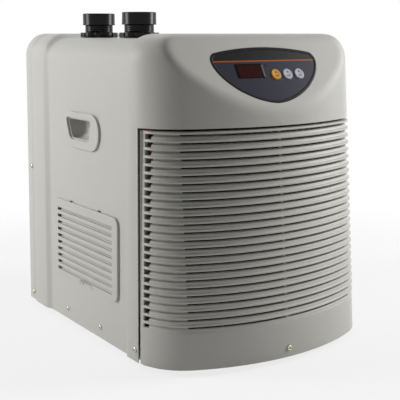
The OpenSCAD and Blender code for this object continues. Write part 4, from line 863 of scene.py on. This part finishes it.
STRIPE_LOW, STRIPE_HIGH = -45.0, -42.8
PANEL, tree, paint, across, up = painted("panel_label", 0.3, drift=0.05, deep=0.00001, grain=700,
                                         Specular_IOR_Level=0.08)
colour = blend(tree, above(tree, up, STRIPE_LOW * MM), rgb(46, 45, 62), rgb(178, 92, 36))
colour = blend(tree, above(tree, up, STRIPE_HIGH * MM), colour, rgb(13, 12, 14))
on_rim = node(tree, "ShaderNodeAttribute", attribute_name="border").outputs["Fac"]
tree.links.new(blend(tree, on_rim, colour, rgb(14, 13, 14)), paint)
piece("control_panel_face", panel, "cabinet", PANEL, "panel", "control_panel")


# %% Window, status lamp and the three keys
def crowned(place, line, rings, dome=0.0):
    """A closed block: an outline's rings of (inset, out), then a dome that rises as one less the way in squared."""
    loops = [(grown(line, -inset), out) for inset, out in rings]
    last, top = loops[-1]
    centre = last.mean(0)
    loops += [(centre + (last - centre) * k, top + dome * (1 - k * k)) for k in (0.85, 0.65, 0.4, 0.15)]
    return stack_loops(place, loops)


DIGIT_X0, DIGIT_X1, DIGIT_LOW, DIGIT_HIGH, DIGIT_HALF = -51.5, -12.5, -69.2, -49.8, 4.9
glass_line = box_line(WINDOW_W - 0.5, WINDOW_H - 0.5, 1.4, at=window_at)
glass_rings = [(0.3, -2.4), (0, -2.2), (0, -0.1), (0.15, 0.1), (0.4, 0.16)]
glass = mesh_from("display_glass", [crowned(on_fascia, glass_line, glass_rings)])
fascia_uv(glass)
GLASS, tree, paint, across, up = painted("display_glass", 0.12, drift=0.06, deep=0.000004, Specular_IOR_Level=0.06)
inside = both(tree, above(tree, across, DIGIT_X0 * MM), below(tree, across, DIGIT_X1 * MM))
inside = both(tree, inside, both(tree, above(tree, up, DIGIT_LOW * MM), below(tree, up, DIGIT_HIGH * MM)))
digit = maths(tree, "PINGPONG", less(tree, across, DIGIT_X0 * MM), DIGIT_HALF * MM)
red = blend(tree, both(tree, below(tree, digit, 0.9 * MM, 0.0004), 0.45), rgb(58, 8, 10), rgb(20, 4, 6))
tree.links.new(blend(tree, inside, rgb(9, 6, 8), red), paint)
piece("display_glass", glass, "cabinet", GLASS, "window", "display_window")

lamp_rings = [(0, -11), (0, 0.1), (0.2, 0.3)]
lamp = mesh_from("status_lamp", [crowned(on_fascia, circle(LAMP_R, 24) + lamp_at, lamp_rings, 0.5)])
LAMP = finish("lamp_lens", rgb(30, 10, 12), 0.15, drift=0.05, Specular_IOR_Level=0.1)
piece("status_lamp", lamp, "cabinet", LAMP, "lamp", "status_led")


DOT_UP, DOT_R, BAR_UP, BAR_T, BAR_W = 3.1, 1.5, -2.6, 0.9, 3.1


def key_finish(name, colour, at_x, dark):
    """A key's plastic with two small plain marks, a dot above and a bar below, as masks of its map."""
    made, tree, paint, across, up = painted(name, 0.35, drift=0.04, deep=0.00001, Specular_IOR_Level=0.2)
    sideways = less(tree, across, at_x * MM)
    over = less(tree, up, (BUTTON_UP + DOT_UP) * MM)
    away = maths(tree, "SQRT", maths(tree, "ADD", both(tree, sideways, sideways), both(tree, over, over)))
    under = maths(tree, "ABSOLUTE", less(tree, up, (BUTTON_UP + BAR_UP) * MM))
    aside = maths(tree, "ABSOLUTE", sideways)
    bar = both(tree, below(tree, under, BAR_T * MM, 0.0002), below(tree, aside, BAR_W * MM, 0.0003))
    marks = maths(tree, "MAXIMUM", below(tree, away, DOT_R * MM, 0.0003), both(tree, bar, 0.8))
    tree.links.new(blend(tree, marks, colour, dark), paint)
    return made


AMBER, GREY = (rgb(226, 156, 26), rgb(60, 36, 8), "amber_key"), (rgb(196, 197, 208), rgb(58, 58, 66), "grey_key")
key_rings = [(0, -4.5), (0, -4.4), (0, 0.9), (0.15, 1.3), (0.5, 1.6), (1.1, 1.7)]
for name, x, (colour, dark, slot) in zip(("set_key", "up_key", "down_key"), key_x, (AMBER, GREY, GREY)):
    key = mesh_from(name + "_cap", [crowned(on_fascia, circle(BUTTON_R) + (x, BUTTON_UP), key_rings, -0.25)])
    fascia_uv(key)
    plastic = key_finish(name + "_plastic", colour, x, dark)
    piece(name + "_cap", key, name, plastic, slot, name.replace("_key", "_button"))

# %% [markdown]
# ## Finger pockets
# Each side has a low raised plate with a scoop behind it, and fingers lift the
# chiller by its upper lip. Plate and scoop are one skin, so it is one stack of
# loops: from behind the cup, out over the plate's rim, across its face, round the
# lip and down the scoop's walls. Loops of different outlines match because each
# is walked by its angle about one centre.

# %% Loops walked by angle, and the two handles
HANDLE_AT, POCKET_AT = np.array([181.0, 310.5]), np.array([189.5, 312.0])
PLATE_BACK, PLATE_FRONT, CUP_WALL, LIP, FLOOR = -4.2, -0.8, 2.0, -1.5, -27.2


def by_angle(line, centre, count=180):
    """An outline walked again by its angle about a centre: at each angle, how far away its edge lies."""
    ray = even(line, 900) - centre
    angle = np.arctan2(ray[:, 1], ray[:, 0])
    order = np.argsort(angle)
    t = np.linspace(-np.pi, np.pi, count, endpoint=False)
    r = np.interp(t, angle[order], np.hypot(ray[:, 0], ray[:, 1])[order], period=2 * np.pi)
    return centre + np.stack([r * np.cos(t), r * np.sin(t)], -1)


plate_line = by_angle(box_line(114, 55, 25, turns=24, at=HANDLE_AT), POCKET_AT)
scoop_line = by_angle(pocket_line, POCKET_AT)
cup = [(CUP_WALL - 3, -30.2), (CUP_WALL - 0.6, -29.6), (CUP_WALL, -28), (CUP_WALL, PLATE_BACK - 0.1),
       (CUP_WALL, PLATE_BACK)]
plate_rim = [(-0.3, PLATE_BACK), (0, PLATE_BACK + 0.3), (0, -1.3), (-0.12, -1.0), (-0.45, PLATE_FRONT),
             (-1.2, PLATE_FRONT)]
lip = [(1.6, PLATE_FRONT), (0.7, PLATE_FRONT), (0.2, -1.0), (0.0, LIP)]
skins = [(scoop_line, cup), (plate_line, plate_rim), (scoop_line, lip)]
grip = [(grown(line, by), out) for line, rings in skins for by, out in rings]
for t in steps((0.08, 2), (0.9, 9), (1.0, 3)):
    # The scoop shrinks and leans up and back as it deepens, so its front wall slopes.
    share = 1 - 0.1 * t - 0.42 * t**2.5
    lean = np.array([10 * t**1.5, 6 * t**2])
    grip.append((POCKET_AT + (scoop_line - POCKET_AT) * share + lean, LIP + (FLOOR - LIP) * (1 - (1 - t) ** 1.6)))
floor_line, centre = grip[-1][0], POCKET_AT + lean
grip += [(centre + (floor_line - centre) * k, FLOOR - 1.0 * (1 - k * k)) for k in (0.7, 0.4, 0.15)]
for name, side in SIDES:
    grip_mesh = mesh_from(name + "_finger_pocket", [stack_loops(side, grip)], sharp=50)
    piece(name + "_finger_pocket", grip_mesh, "cabinet", CASING, "casing", "handle_" + name)

# %% [markdown]
# ## Louvred hatches
# The hatch is a flat moulded cover: ten long louvres, each with a slanted blade
# behind it that stops short of the rear end, so a dark square shows there. Two
# short slits, a long one over them and a notch mark the latch tongue at the foot.
# The cover is a rounded plate with the louvres cut out, and each blade is a strip
# carried along its slot.

# %% Covers, blades, tabs and latch
VENT_AT, VENT_W, VENT_H = (174.5, 132.5), 215.0, 125.0
LOUVRES, LOUVRE_Y0, LOUVRE_W, LOUVRE_Z0, LOUVRE_PITCH, LOUVRE_H = 10, 83.0, 183.0, 79.0, 10.8, 5.0
BLADE_W, BLADE_T, BLADE_TURN, BLADE_SHORT = 6.5, 1.4, math.pi - math.radians(38), 9.0
LATCH_Y, LATCH_HALF, HOOK_HALF, HATCH_CUT = 167.0, 20.0, 4.8, (-6, 1)
SHORT_SLIT, LONG_SLIT, NOTCH = (1.6, 5.6, 0.2), (38.0, 1.8, 0.3), (3.2, 3.2, 1.4)
SHORT_UP, LONG_UP, NOTCH_AT = 73.2, 77.2, (176.0, 74.0)


def across_side(side, at_up=0.0):
    """A side's ruler for a profile of (out, up) that is carried along the wall."""
    return lambda out, up, along: side(along, up + at_up, out)


low_up = LOUVRE_Z0 + LOUVRE_PITCH * np.arange(LOUVRES)
plate = box_line(VENT_W, VENT_H, 12, turns=14, at=VENT_AT)
cover_rings = [(0.6, PLATE_BACK), (0, PLATE_BACK + 0.4), (0, -1.3), (0.12, -1.0), (0.45, PLATE_FRONT),
               (1.2, PLATE_FRONT)]
louvre_at = [(LOUVRE_Y0 + LOUVRE_W / 2, z + LOUVRE_H / 2) for z in low_up]
openings = [box_line(LOUVRE_W, LOUVRE_H, 0.9, turns=4, at=at) for at in louvre_at]
openings += [box_line(*SHORT_SLIT, turns=2, at=(LATCH_Y + s * LATCH_HALF, SHORT_UP)) for s in (-1, 1)]
openings.append(box_line(*LONG_SLIT, turns=2, at=(LATCH_Y, LONG_UP)))
openings.append(box_line(*NOTCH, turns=5, at=NOTCH_AT))
flat = box_line(BLADE_W, BLADE_T, 0.35, turns=4) + (BLADE_W / 2, BLADE_T / 2)
cos, sin = math.cos(BLADE_TURN), math.sin(BLADE_TURN)
blade = np.stack([flat[:, 0] * cos + flat[:, 1] * sin, flat[:, 0] * sin - flat[:, 1] * cos], -1)
blade += (PLATE_BACK + 1.4, 0.0)
ends = (LOUVRE_Y0 - 0.5, LOUVRE_Y0 + LOUVRE_W - BLADE_SHORT)
hook = np.array([(-4.4, 191.0), (-4.4, 193.0), (-7.8, 193.0), (-7.8, 201.0), (-8.2, 201.0), (-9.3, 199.6),
                 (-9.3, 191.0)])
for name, side in SIDES:
    cover = mesh_from("cover", [crowned(side, plate, cover_rings)], sharp=40)
    made = cut(cover, [prism(side, line, *HATCH_CUT) for line in openings], sharp=40)
    parts = [stack_loops(across_side(side, z), [(blade, end) for end in ends]) for z in low_up + 0.2]
    parts += [stack_loops(across_side(side), [(hook, y - HOOK_HALF), (hook, y + HOOK_HALF)]) for y in TAB_YS]
    extra = mesh_from("extra", parts, sharp=40)
    joined = bmesh.new()
    joined.from_mesh(made)
    joined.from_mesh(extra)
    joined.to_mesh(made)
    joined.free()
    bpy.data.meshes.remove(extra)
    made.name = name + "_louvred_hatch"
    piece(made.name, shaded(made, 40), name + "_hatch", CASING, "casing", "vent_cover_" + name)

# %% [markdown]
# ## The works inside
# The solids behind the grille keep their shape, and each takes the finish of its
# real material: galvanised steel for the pan and brackets, paint on the welded
# compressor pot, drawn copper for the refrigerant lines, thin alloy plates, and
# dark mouldings for the fan. Steel and the pot's paint get a stronger ripple, as
# rolled and welded sheet has.

# %% A finish for every solid that is kept
KEPT = [
    (STEEL, "base_pan compressor_bolts condenser_frame motor_bracket motor_shaft barrel_cradle"),
    (POT, "compressor fan_motor"),
    (COPPER, "condenser_tube discharge_line liquid_line capillary_tube filter_drier"),
    (ALLOY, "condenser_plates"),
    (TITANIUM, "titanium_coil"),
    (NICKEL, "temperature_probe"),
    (DARK, "terminal_cover fan_shroud fan_rotor barrel_cap"),
    (TANK, "exchanger_barrel"),
    (WHITE, "electrical_box electrical_cover run_capacitor"),
    (BOARD, "display_board relay_board"),
    (RUBBER, "compressor_grommets port_seals port_couplers suction_line"),
    (BLACK, "port_lock_nuts power_inlet"),
]
for material, names in KEPT:
    for name in names.split():
        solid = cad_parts[name]
        if not solid.material_slots:
            solid.data.materials.append(material)
        for held in solid.material_slots:
            held.material = material
print("solids with a finish:", sum(len(names.split()) for _, names in KEPT))

# %% [markdown]
# ## Filters
# A foam pad stands behind each hatch and a bowed mesh behind the grille. Open-cell
# foam has an uneven face, so the pad's two faces ripple a little, and its finish
# has deep soft pits. The mesh is a thin bowed wall that follows the grille. Its
# weave is too fine to see as threads, so a rough dark grain stands for it. Its
# near-black colour is partly the mesh's own and partly painted shade for the dark behind the slots.

# %% Foam pads
PAD_LINE, PAD_FRONT, PAD_T, RIPPLE = (214.4, 124.4, 2.0), -19.5, 5.0, 0.25
shrink = [1.0, 0.992, 0.97, 0.9, 0.8, 0.65, 0.5, 0.35, 0.2, 0.08]
pad_line = even(box_line(*PAD_LINE, turns=6, at=VENT_AT), 240)


def pad_face(shares, out, inwards, wave_y, wave_z):
    """Loops of one face: its outline shrunk by shares, stepped in at the edge, with two sines' product as ripple."""
    loops = []
    for k in shares:
        at = np.array(VENT_AT) + (pad_line - VENT_AT) * k
        ripple = RIPPLE * np.sin(at[:, 0] / wave_y) * np.sin(at[:, 1] / wave_z)
        loops.append((at, out + inwards * (1.0 if k == 1.0 else 0.3) + ripple * (k < 0.98)))
    return loops


pad_loops = pad_face(shrink[::-1], PAD_FRONT - PAD_T, 1, 3.1, 2.7) + pad_face(shrink, PAD_FRONT, -1, 2.9, 3.3)
for name, side in SIDES:
    pad = mesh_from(name + "_foam_pad", [stack_loops(side, pad_loops)], sharp=60)
    made = piece(name + "_foam_pad", pad, "cabinet", FOAM, "foam", "vent_filter_" + name)

# %% The bowed mesh
MESH_EDGE_Y, MESH_FRONT, MESH_BACK = -15.5, 3.8, 5.2
mesh_z = np.linspace(SKIRT_H + PITCH + 0.2, FASCIA_Z - 2 * PITCH - 0.2, 24)[:, None]
mesh_end = np.arccos((nose_centres(mesh_z)[1] - MESH_EDGE_Y) / (CORNER_R - 10))
mesh_turns = mesh_end * np.linspace(-1, 1, 61)[None]


def mesh_skin(inset):
    """The mesh's grid at an inset behind the groove: the grille's own surface, mirrored by the angle's sign."""
    skin = grille_point(mesh_z, np.abs(mesh_turns), groove(mesh_z) + inset)
    skin[..., 0] *= np.sign(mesh_turns)
    return skin


bowed = mesh_from("front_mesh", [wall_of(mesh_skin(MESH_FRONT), mesh_skin(MESH_BACK))], sharp=40)
piece("front_mesh", bowed, "cabinet", MESH, "mesh", "front_filter")

# %% [markdown]
# ## Water fittings
# Each port is a threaded neck on a lobed flange, with a plain union nut on top.
# They are turned shapes, so each is a closed profile of radius and height swept
# round an axis. The thread and the flange's notches change the radius with the
# angle, and the sweep takes them as one function.

# %% Closed profiles swept round an axis
NECK_R, BORE_R, FLANGE_R, NUT_R, OPEN_R = 22.0, 15.0, 29.5, 25.5, 17.0
FLANGE_Z, FLANGE_TOP, NUT_TOP, NUT_LOW, NECK_TOP = 449.9, 456.6, 486.0, 468.0, 483.1
THREAD_Z, THREAD_PITCH = 457.2, 2.6


def swept(place, profile, count=96, change=None):
    """A closed profile of (radius, height) swept round: the radius plus its change at each angle and height."""
    ring = np.concatenate([profile, profile[:1]])
    t = full_turn(count)[None]
    r, h = ring[:, :1] + 0 * t, ring[:, 1:] + 0 * t
    if change is not None:
        r = r + change(r, h, t)
    return sheet_of(place(r * np.cos(t), r * np.sin(t), h), wrap=True)


def fitting_change(r, h, t):
    """Thread: a cosine of height less turn, 0.5 mm deep. Flange: notches where the cosine of 12 turns is low."""
    wave = 0.5 - 0.5 * np.cos(2 * np.pi * h / THREAD_PITCH - t)
    thread = np.where((np.abs(r - NECK_R) < 0.01) & (h > THREAD_Z), -0.5 * wave, 0.0)
    lobe = np.clip((-0.35 - np.cos(12 * t)) / 0.4, 0, 1)
    return thread - np.where(r > FLANGE_R - 1.2, 1.5 * lobe, 0.0)


thread_h = np.linspace(THREAD_Z, NECK_TOP - 0.4, 44)
port_profile = np.array(
    [(BORE_R, 431.7), (BORE_R, 440), (BORE_R, NECK_TOP - 0.6), (BORE_R + 0.6, NECK_TOP), (NECK_R - 0.5, NECK_TOP)]
    + [(NECK_R, h) for h in thread_h[::-1]]
    + [(NECK_R + 0.6, FLANGE_TOP), (FLANGE_R - 1.0, FLANGE_TOP), (FLANGE_R - 0.3, FLANGE_TOP - 0.3),
       (FLANGE_R, FLANGE_TOP - 1.0), (FLANGE_R, FLANGE_Z + 0.6), (FLANGE_R - 0.6, FLANGE_Z), (NECK_R, FLANGE_Z),
       (NECK_R, 439.6), (20.0, 439.4), (20.0, 431.7)])
nut_profile = np.array(
    [(NUT_R - 0.4, NUT_LOW), (NUT_R, NUT_LOW + 0.4), (NUT_R, NUT_LOW + 1.6), (NUT_R - 0.25, NUT_LOW + 2.0),
     (NUT_R - 0.25, NUT_TOP - 1.1), (NUT_R - 0.5, NUT_TOP - 0.5), (NUT_R - 1.1, NUT_TOP), (OPEN_R + 0.7, NUT_TOP),
     (OPEN_R, NUT_TOP - 0.7), (OPEN_R, NUT_TOP - 2.6), (NECK_R + 0.05, NUT_TOP - 2.6), (NECK_R + 0.05, NUT_LOW)])
for name, y in zip(("inlet", "outlet"), PORT_YS):
    stand = upright(PORT_X, y)
    port = mesh_from(name + "_fitting", [swept(stand, port_profile, 144, fitting_change)], sharp=40)
    piece(name + "_fitting", port, "cabinet", BLACK, "black_moulding", name + "_port")
    nut = mesh_from(name + "_union_nut", [swept(stand, nut_profile)], sharp=40)
    piece(name + "_union_nut", nut, name + "_collar", BLACK, "black_moulding", name + "_nut")

# %% [markdown]
# ## Screws and feet
# The screws are plated pan heads with a cross recess. A head is a disc of rings
# whose height falls as a circle does, less the recess, which is a smooth mask of
# the two distances from the cross's arms. All the screws of one kind share a mesh.

# %% Screw heads by rings, and where they sit
HEAD_R, HEAD_H, SHANK_R, SHANK_L, ARM_T, ARM_L, ARM_D = 4.0, 2.2, 1.9, 11.0, 0.75, 2.1, 1.3


def screw(place, across, along, out):
    """Head and shank about a point of a ruler: rings by radius, height from the pan's curve less the cross recess."""
    t = full_turn(64)
    r = np.array([0.06, 0.3, 0.55, 0.8, 1.1, 1.4, 1.7, 2.0, 2.4, 2.8, 3.2, 3.6, 3.88, HEAD_R])[:, None]
    x, y = r * np.cos(t), r * np.sin(t)
    near, far = np.minimum(abs(x), abs(y)), np.maximum(abs(x), abs(y))
    arm = np.clip((ARM_T - near) / 0.3, 0, 1) * np.clip((ARM_L - far) / 0.35, 0, 1)
    h = HEAD_H * np.sqrt(np.maximum(1 - (r / (HEAD_R * 1.02)) ** 4, 0)) - ARM_D * arm
    rows = list(zip(x, y, h))
    below_head = ((HEAD_R, 0), (SHANK_R, 0), (SHANK_R, -SHANK_L))
    rows += [(k * np.cos(t), k * np.sin(t), 0 * t + low) for k, low in below_head]
    return capped([place(across + a, along + b, out + c) for a, b, c in rows])


SIDE_SCREW_Z, SKIRT_SCREW_Z, REAR_SCREW_Y, REAR_SCREW_ZS = 17.0, 13.6, 372.0, (13.4, 234.0)
skirt_y = -NOSE_D + NOSE_LEAN * SKIRT_SCREW_Z / BODY_H
on_skirt = flat_ruler((0, skirt_y, 0), (1, 0, 0), (0, 0, 1), (0, -1, 0))
side_at = ((12.8, 0.0), (126.02, -SIDE_STEP), (239.25, -SIDE_STEP))
screws = {
    "side_screws": [screw(side, y, SIDE_SCREW_Z, out + 0.15) for _, side in SIDES for y, out in side_at],
    "rear_screws": [screw(side, REAR_SCREW_Y, z, -2.65) for _, side in SIDES for z in REAR_SCREW_ZS],
    "grille_screw": [screw(on_skirt, 0.0, SKIRT_SCREW_Z, 0.3)],
}
for name, parts in screws.items():
    piece(name + "_plated", mesh_from(name + "_plated", parts, weld=0.001), "cabinet", NICKEL, "nickel", name)

# %% Rubber feet
foot_profile = np.array(
    [(0.4, -8.0), (11.5, -8.0), (12.0, -7.2), (12.6, -7.2), (13.0, -8.0), (14.6, -8.0), (15.6, -7.4), (16.0, -6.4),
     (16.0, -0.6), (15.6, 0.0), (4.0, 0.0), (4.0, 1.6), (3.4, 2.3), (0.4, 2.3)])
FOOT_XS, FOOT_YS = (-135.0, 135.0), (-10.0, 345.0)
feet = [swept(upright(x, y), foot_profile, 48) for x in FOOT_XS for y in FOOT_YS]
piece("rubber_feet", mesh_from("rubber_feet", feet, sharp=40), "cabinet", RUBBER, "rubber", "feet")

# %% [markdown]
# ## Camera
# The camera stands as high as the cabinet's top, off its left front corner, and
# looks down a little. Its place, turn and lens were found by laying the cabinet's
# edges over the photograph's.

# %% Place the camera
YAW, PITCH_DOWN, CAMERA_AT = math.radians(33.78), math.radians(10.71), (-0.7730, -1.1689, 0.4633)
lens = bpy.data.cameras.new("camera")
lens.lens, lens.sensor_width = 79.28, 36.0
camera = placed("camera", lens)
camera.location = CAMERA_AT
camera.rotation_euler = (math.pi / 2 - PITCH_DOWN, 0.0, -YAW)
bpy.context.scene.camera = camera
print("camera:", [round(v, 3) for v in camera.location])

# %% [markdown]
# ## Light
# Soft boxes light the cabinet as in a small studio: one behind its left side, a
# stronger one on the right of the front, and a weak one above. The backdrop is
# white for the camera and in reflections, and nearly dark as a source of light.

# %% Three soft boxes and the backdrop
WHITE_LIGHT = (1, 1, 1, 1)


def soft_box(name, azimuth, height, size, power, far=1.9, aim=0.24):
    """An area lamp at an azimuth, 0 in front and 90 at the right, turned to the cabinet's middle."""
    lamp = bpy.data.lights.new(name, "AREA")
    lamp.shape, lamp.size, lamp.size_y, lamp.energy = "RECTANGLE", size[0], size[1], power
    made = placed(name, lamp)
    a = math.radians(azimuth)
    made.location = (far * math.sin(a), -far * math.cos(a), height)
    made.rotation_euler = (math.atan2(far, height - aim), 0.0, a)


def bare_tree(owner):
    """A world's or a material's node tree, emptied."""
    owner.use_nodes = True
    owner.node_tree.nodes.clear()
    return owner.node_tree


def seen_directly(tree):
    """1 for rays from the camera, a reflection or a clear material, and 0 for the rays that carry light."""
    path = node(tree, "ShaderNodeLightPath").outputs
    seen = maths(tree, "MAXIMUM", path["Is Camera Ray"], path["Is Glossy Ray"])
    return maths(tree, "MAXIMUM", seen, path["Is Transmission Ray"])


soft_box("left_box", -122, 0.9, (0.7, 1.2), 25)
soft_box("right_box", 67, 1.15, (0.7, 1.3), 36)
soft_box("top_box", 175, 2.1, (1.2, 1.2), 7, far=0.7)
world = bpy.data.worlds.new("studio")
bpy.context.scene.world = world
sky = bare_tree(world)
dim, white = [node(sky, "ShaderNodeBackground", {"Color": WHITE_LIGHT, "Strength": power}).outputs[0]
              for power in (0.068, 1.0)]
mixed = node(sky, "ShaderNodeMixShader", {0: seen_directly(sky), 1: dim, 2: white}).outputs[0]
node(sky, "ShaderNodeOutputWorld", {"Surface": mixed})
print("lamps:", len(bpy.data.lights))

# %% [markdown]
# ## Floor
# The floor is pale paper. Near the cabinet it is partly lit as real paper, which
# keeps the soft shadow, and further out it turns into the white of the backdrop.

# %% Paper floor that fades into the backdrop
FADE_NEAR, FADE_FAR, FLOOR_HALF = 0.5, 1.1, 6
floor_mesh = bpy.data.meshes.new("floor")
corners = [(x * FLOOR_HALF, y * FLOOR_HALF, 0) for x, y in ((-1, -1), (1, -1), (1, 1), (-1, 1))]
floor_mesh.from_pydata(corners, [], [(0, 1, 2, 3)])
floor = placed("floor", floor_mesh)
paper = bpy.data.materials.new("floor_paper")
tree = bare_tree(paper)
place = node(tree, "ShaderNodeTexCoord").outputs["Object"]
away = node(tree, "ShaderNodeVectorMath", {0: place}, operation="LENGTH").outputs["Value"]
ends = {"Value": away, "From Min": FADE_NEAR, "From Max": FADE_FAR, "To Min": 0.78, "To Max": 1.0}
near = node(tree, "ShaderNodeMapRange", ends, interpolation_type="SMOOTHSTEP").outputs[0]
lit = node(tree, "ShaderNodeBsdfDiffuse", {"Color": (0.8, 0.8, 0.8, 1)}).outputs[0]
glow = node(tree, "ShaderNodeEmission", {"Color": WHITE_LIGHT, "Strength": 1.0}).outputs[0]
mixed = node(tree, "ShaderNodeMixShader", {0: both(tree, seen_directly(tree), near), 1: lit, 2: glow}).outputs[0]
node(tree, "ShaderNodeOutputMaterial", {"Surface": mixed})
floor_mesh.materials.append(paper)

# %% [markdown]
# ## End
# The view stays plain, so the colours are as written.

bpy.context.scene.view_settings.view_transform = "Standard"
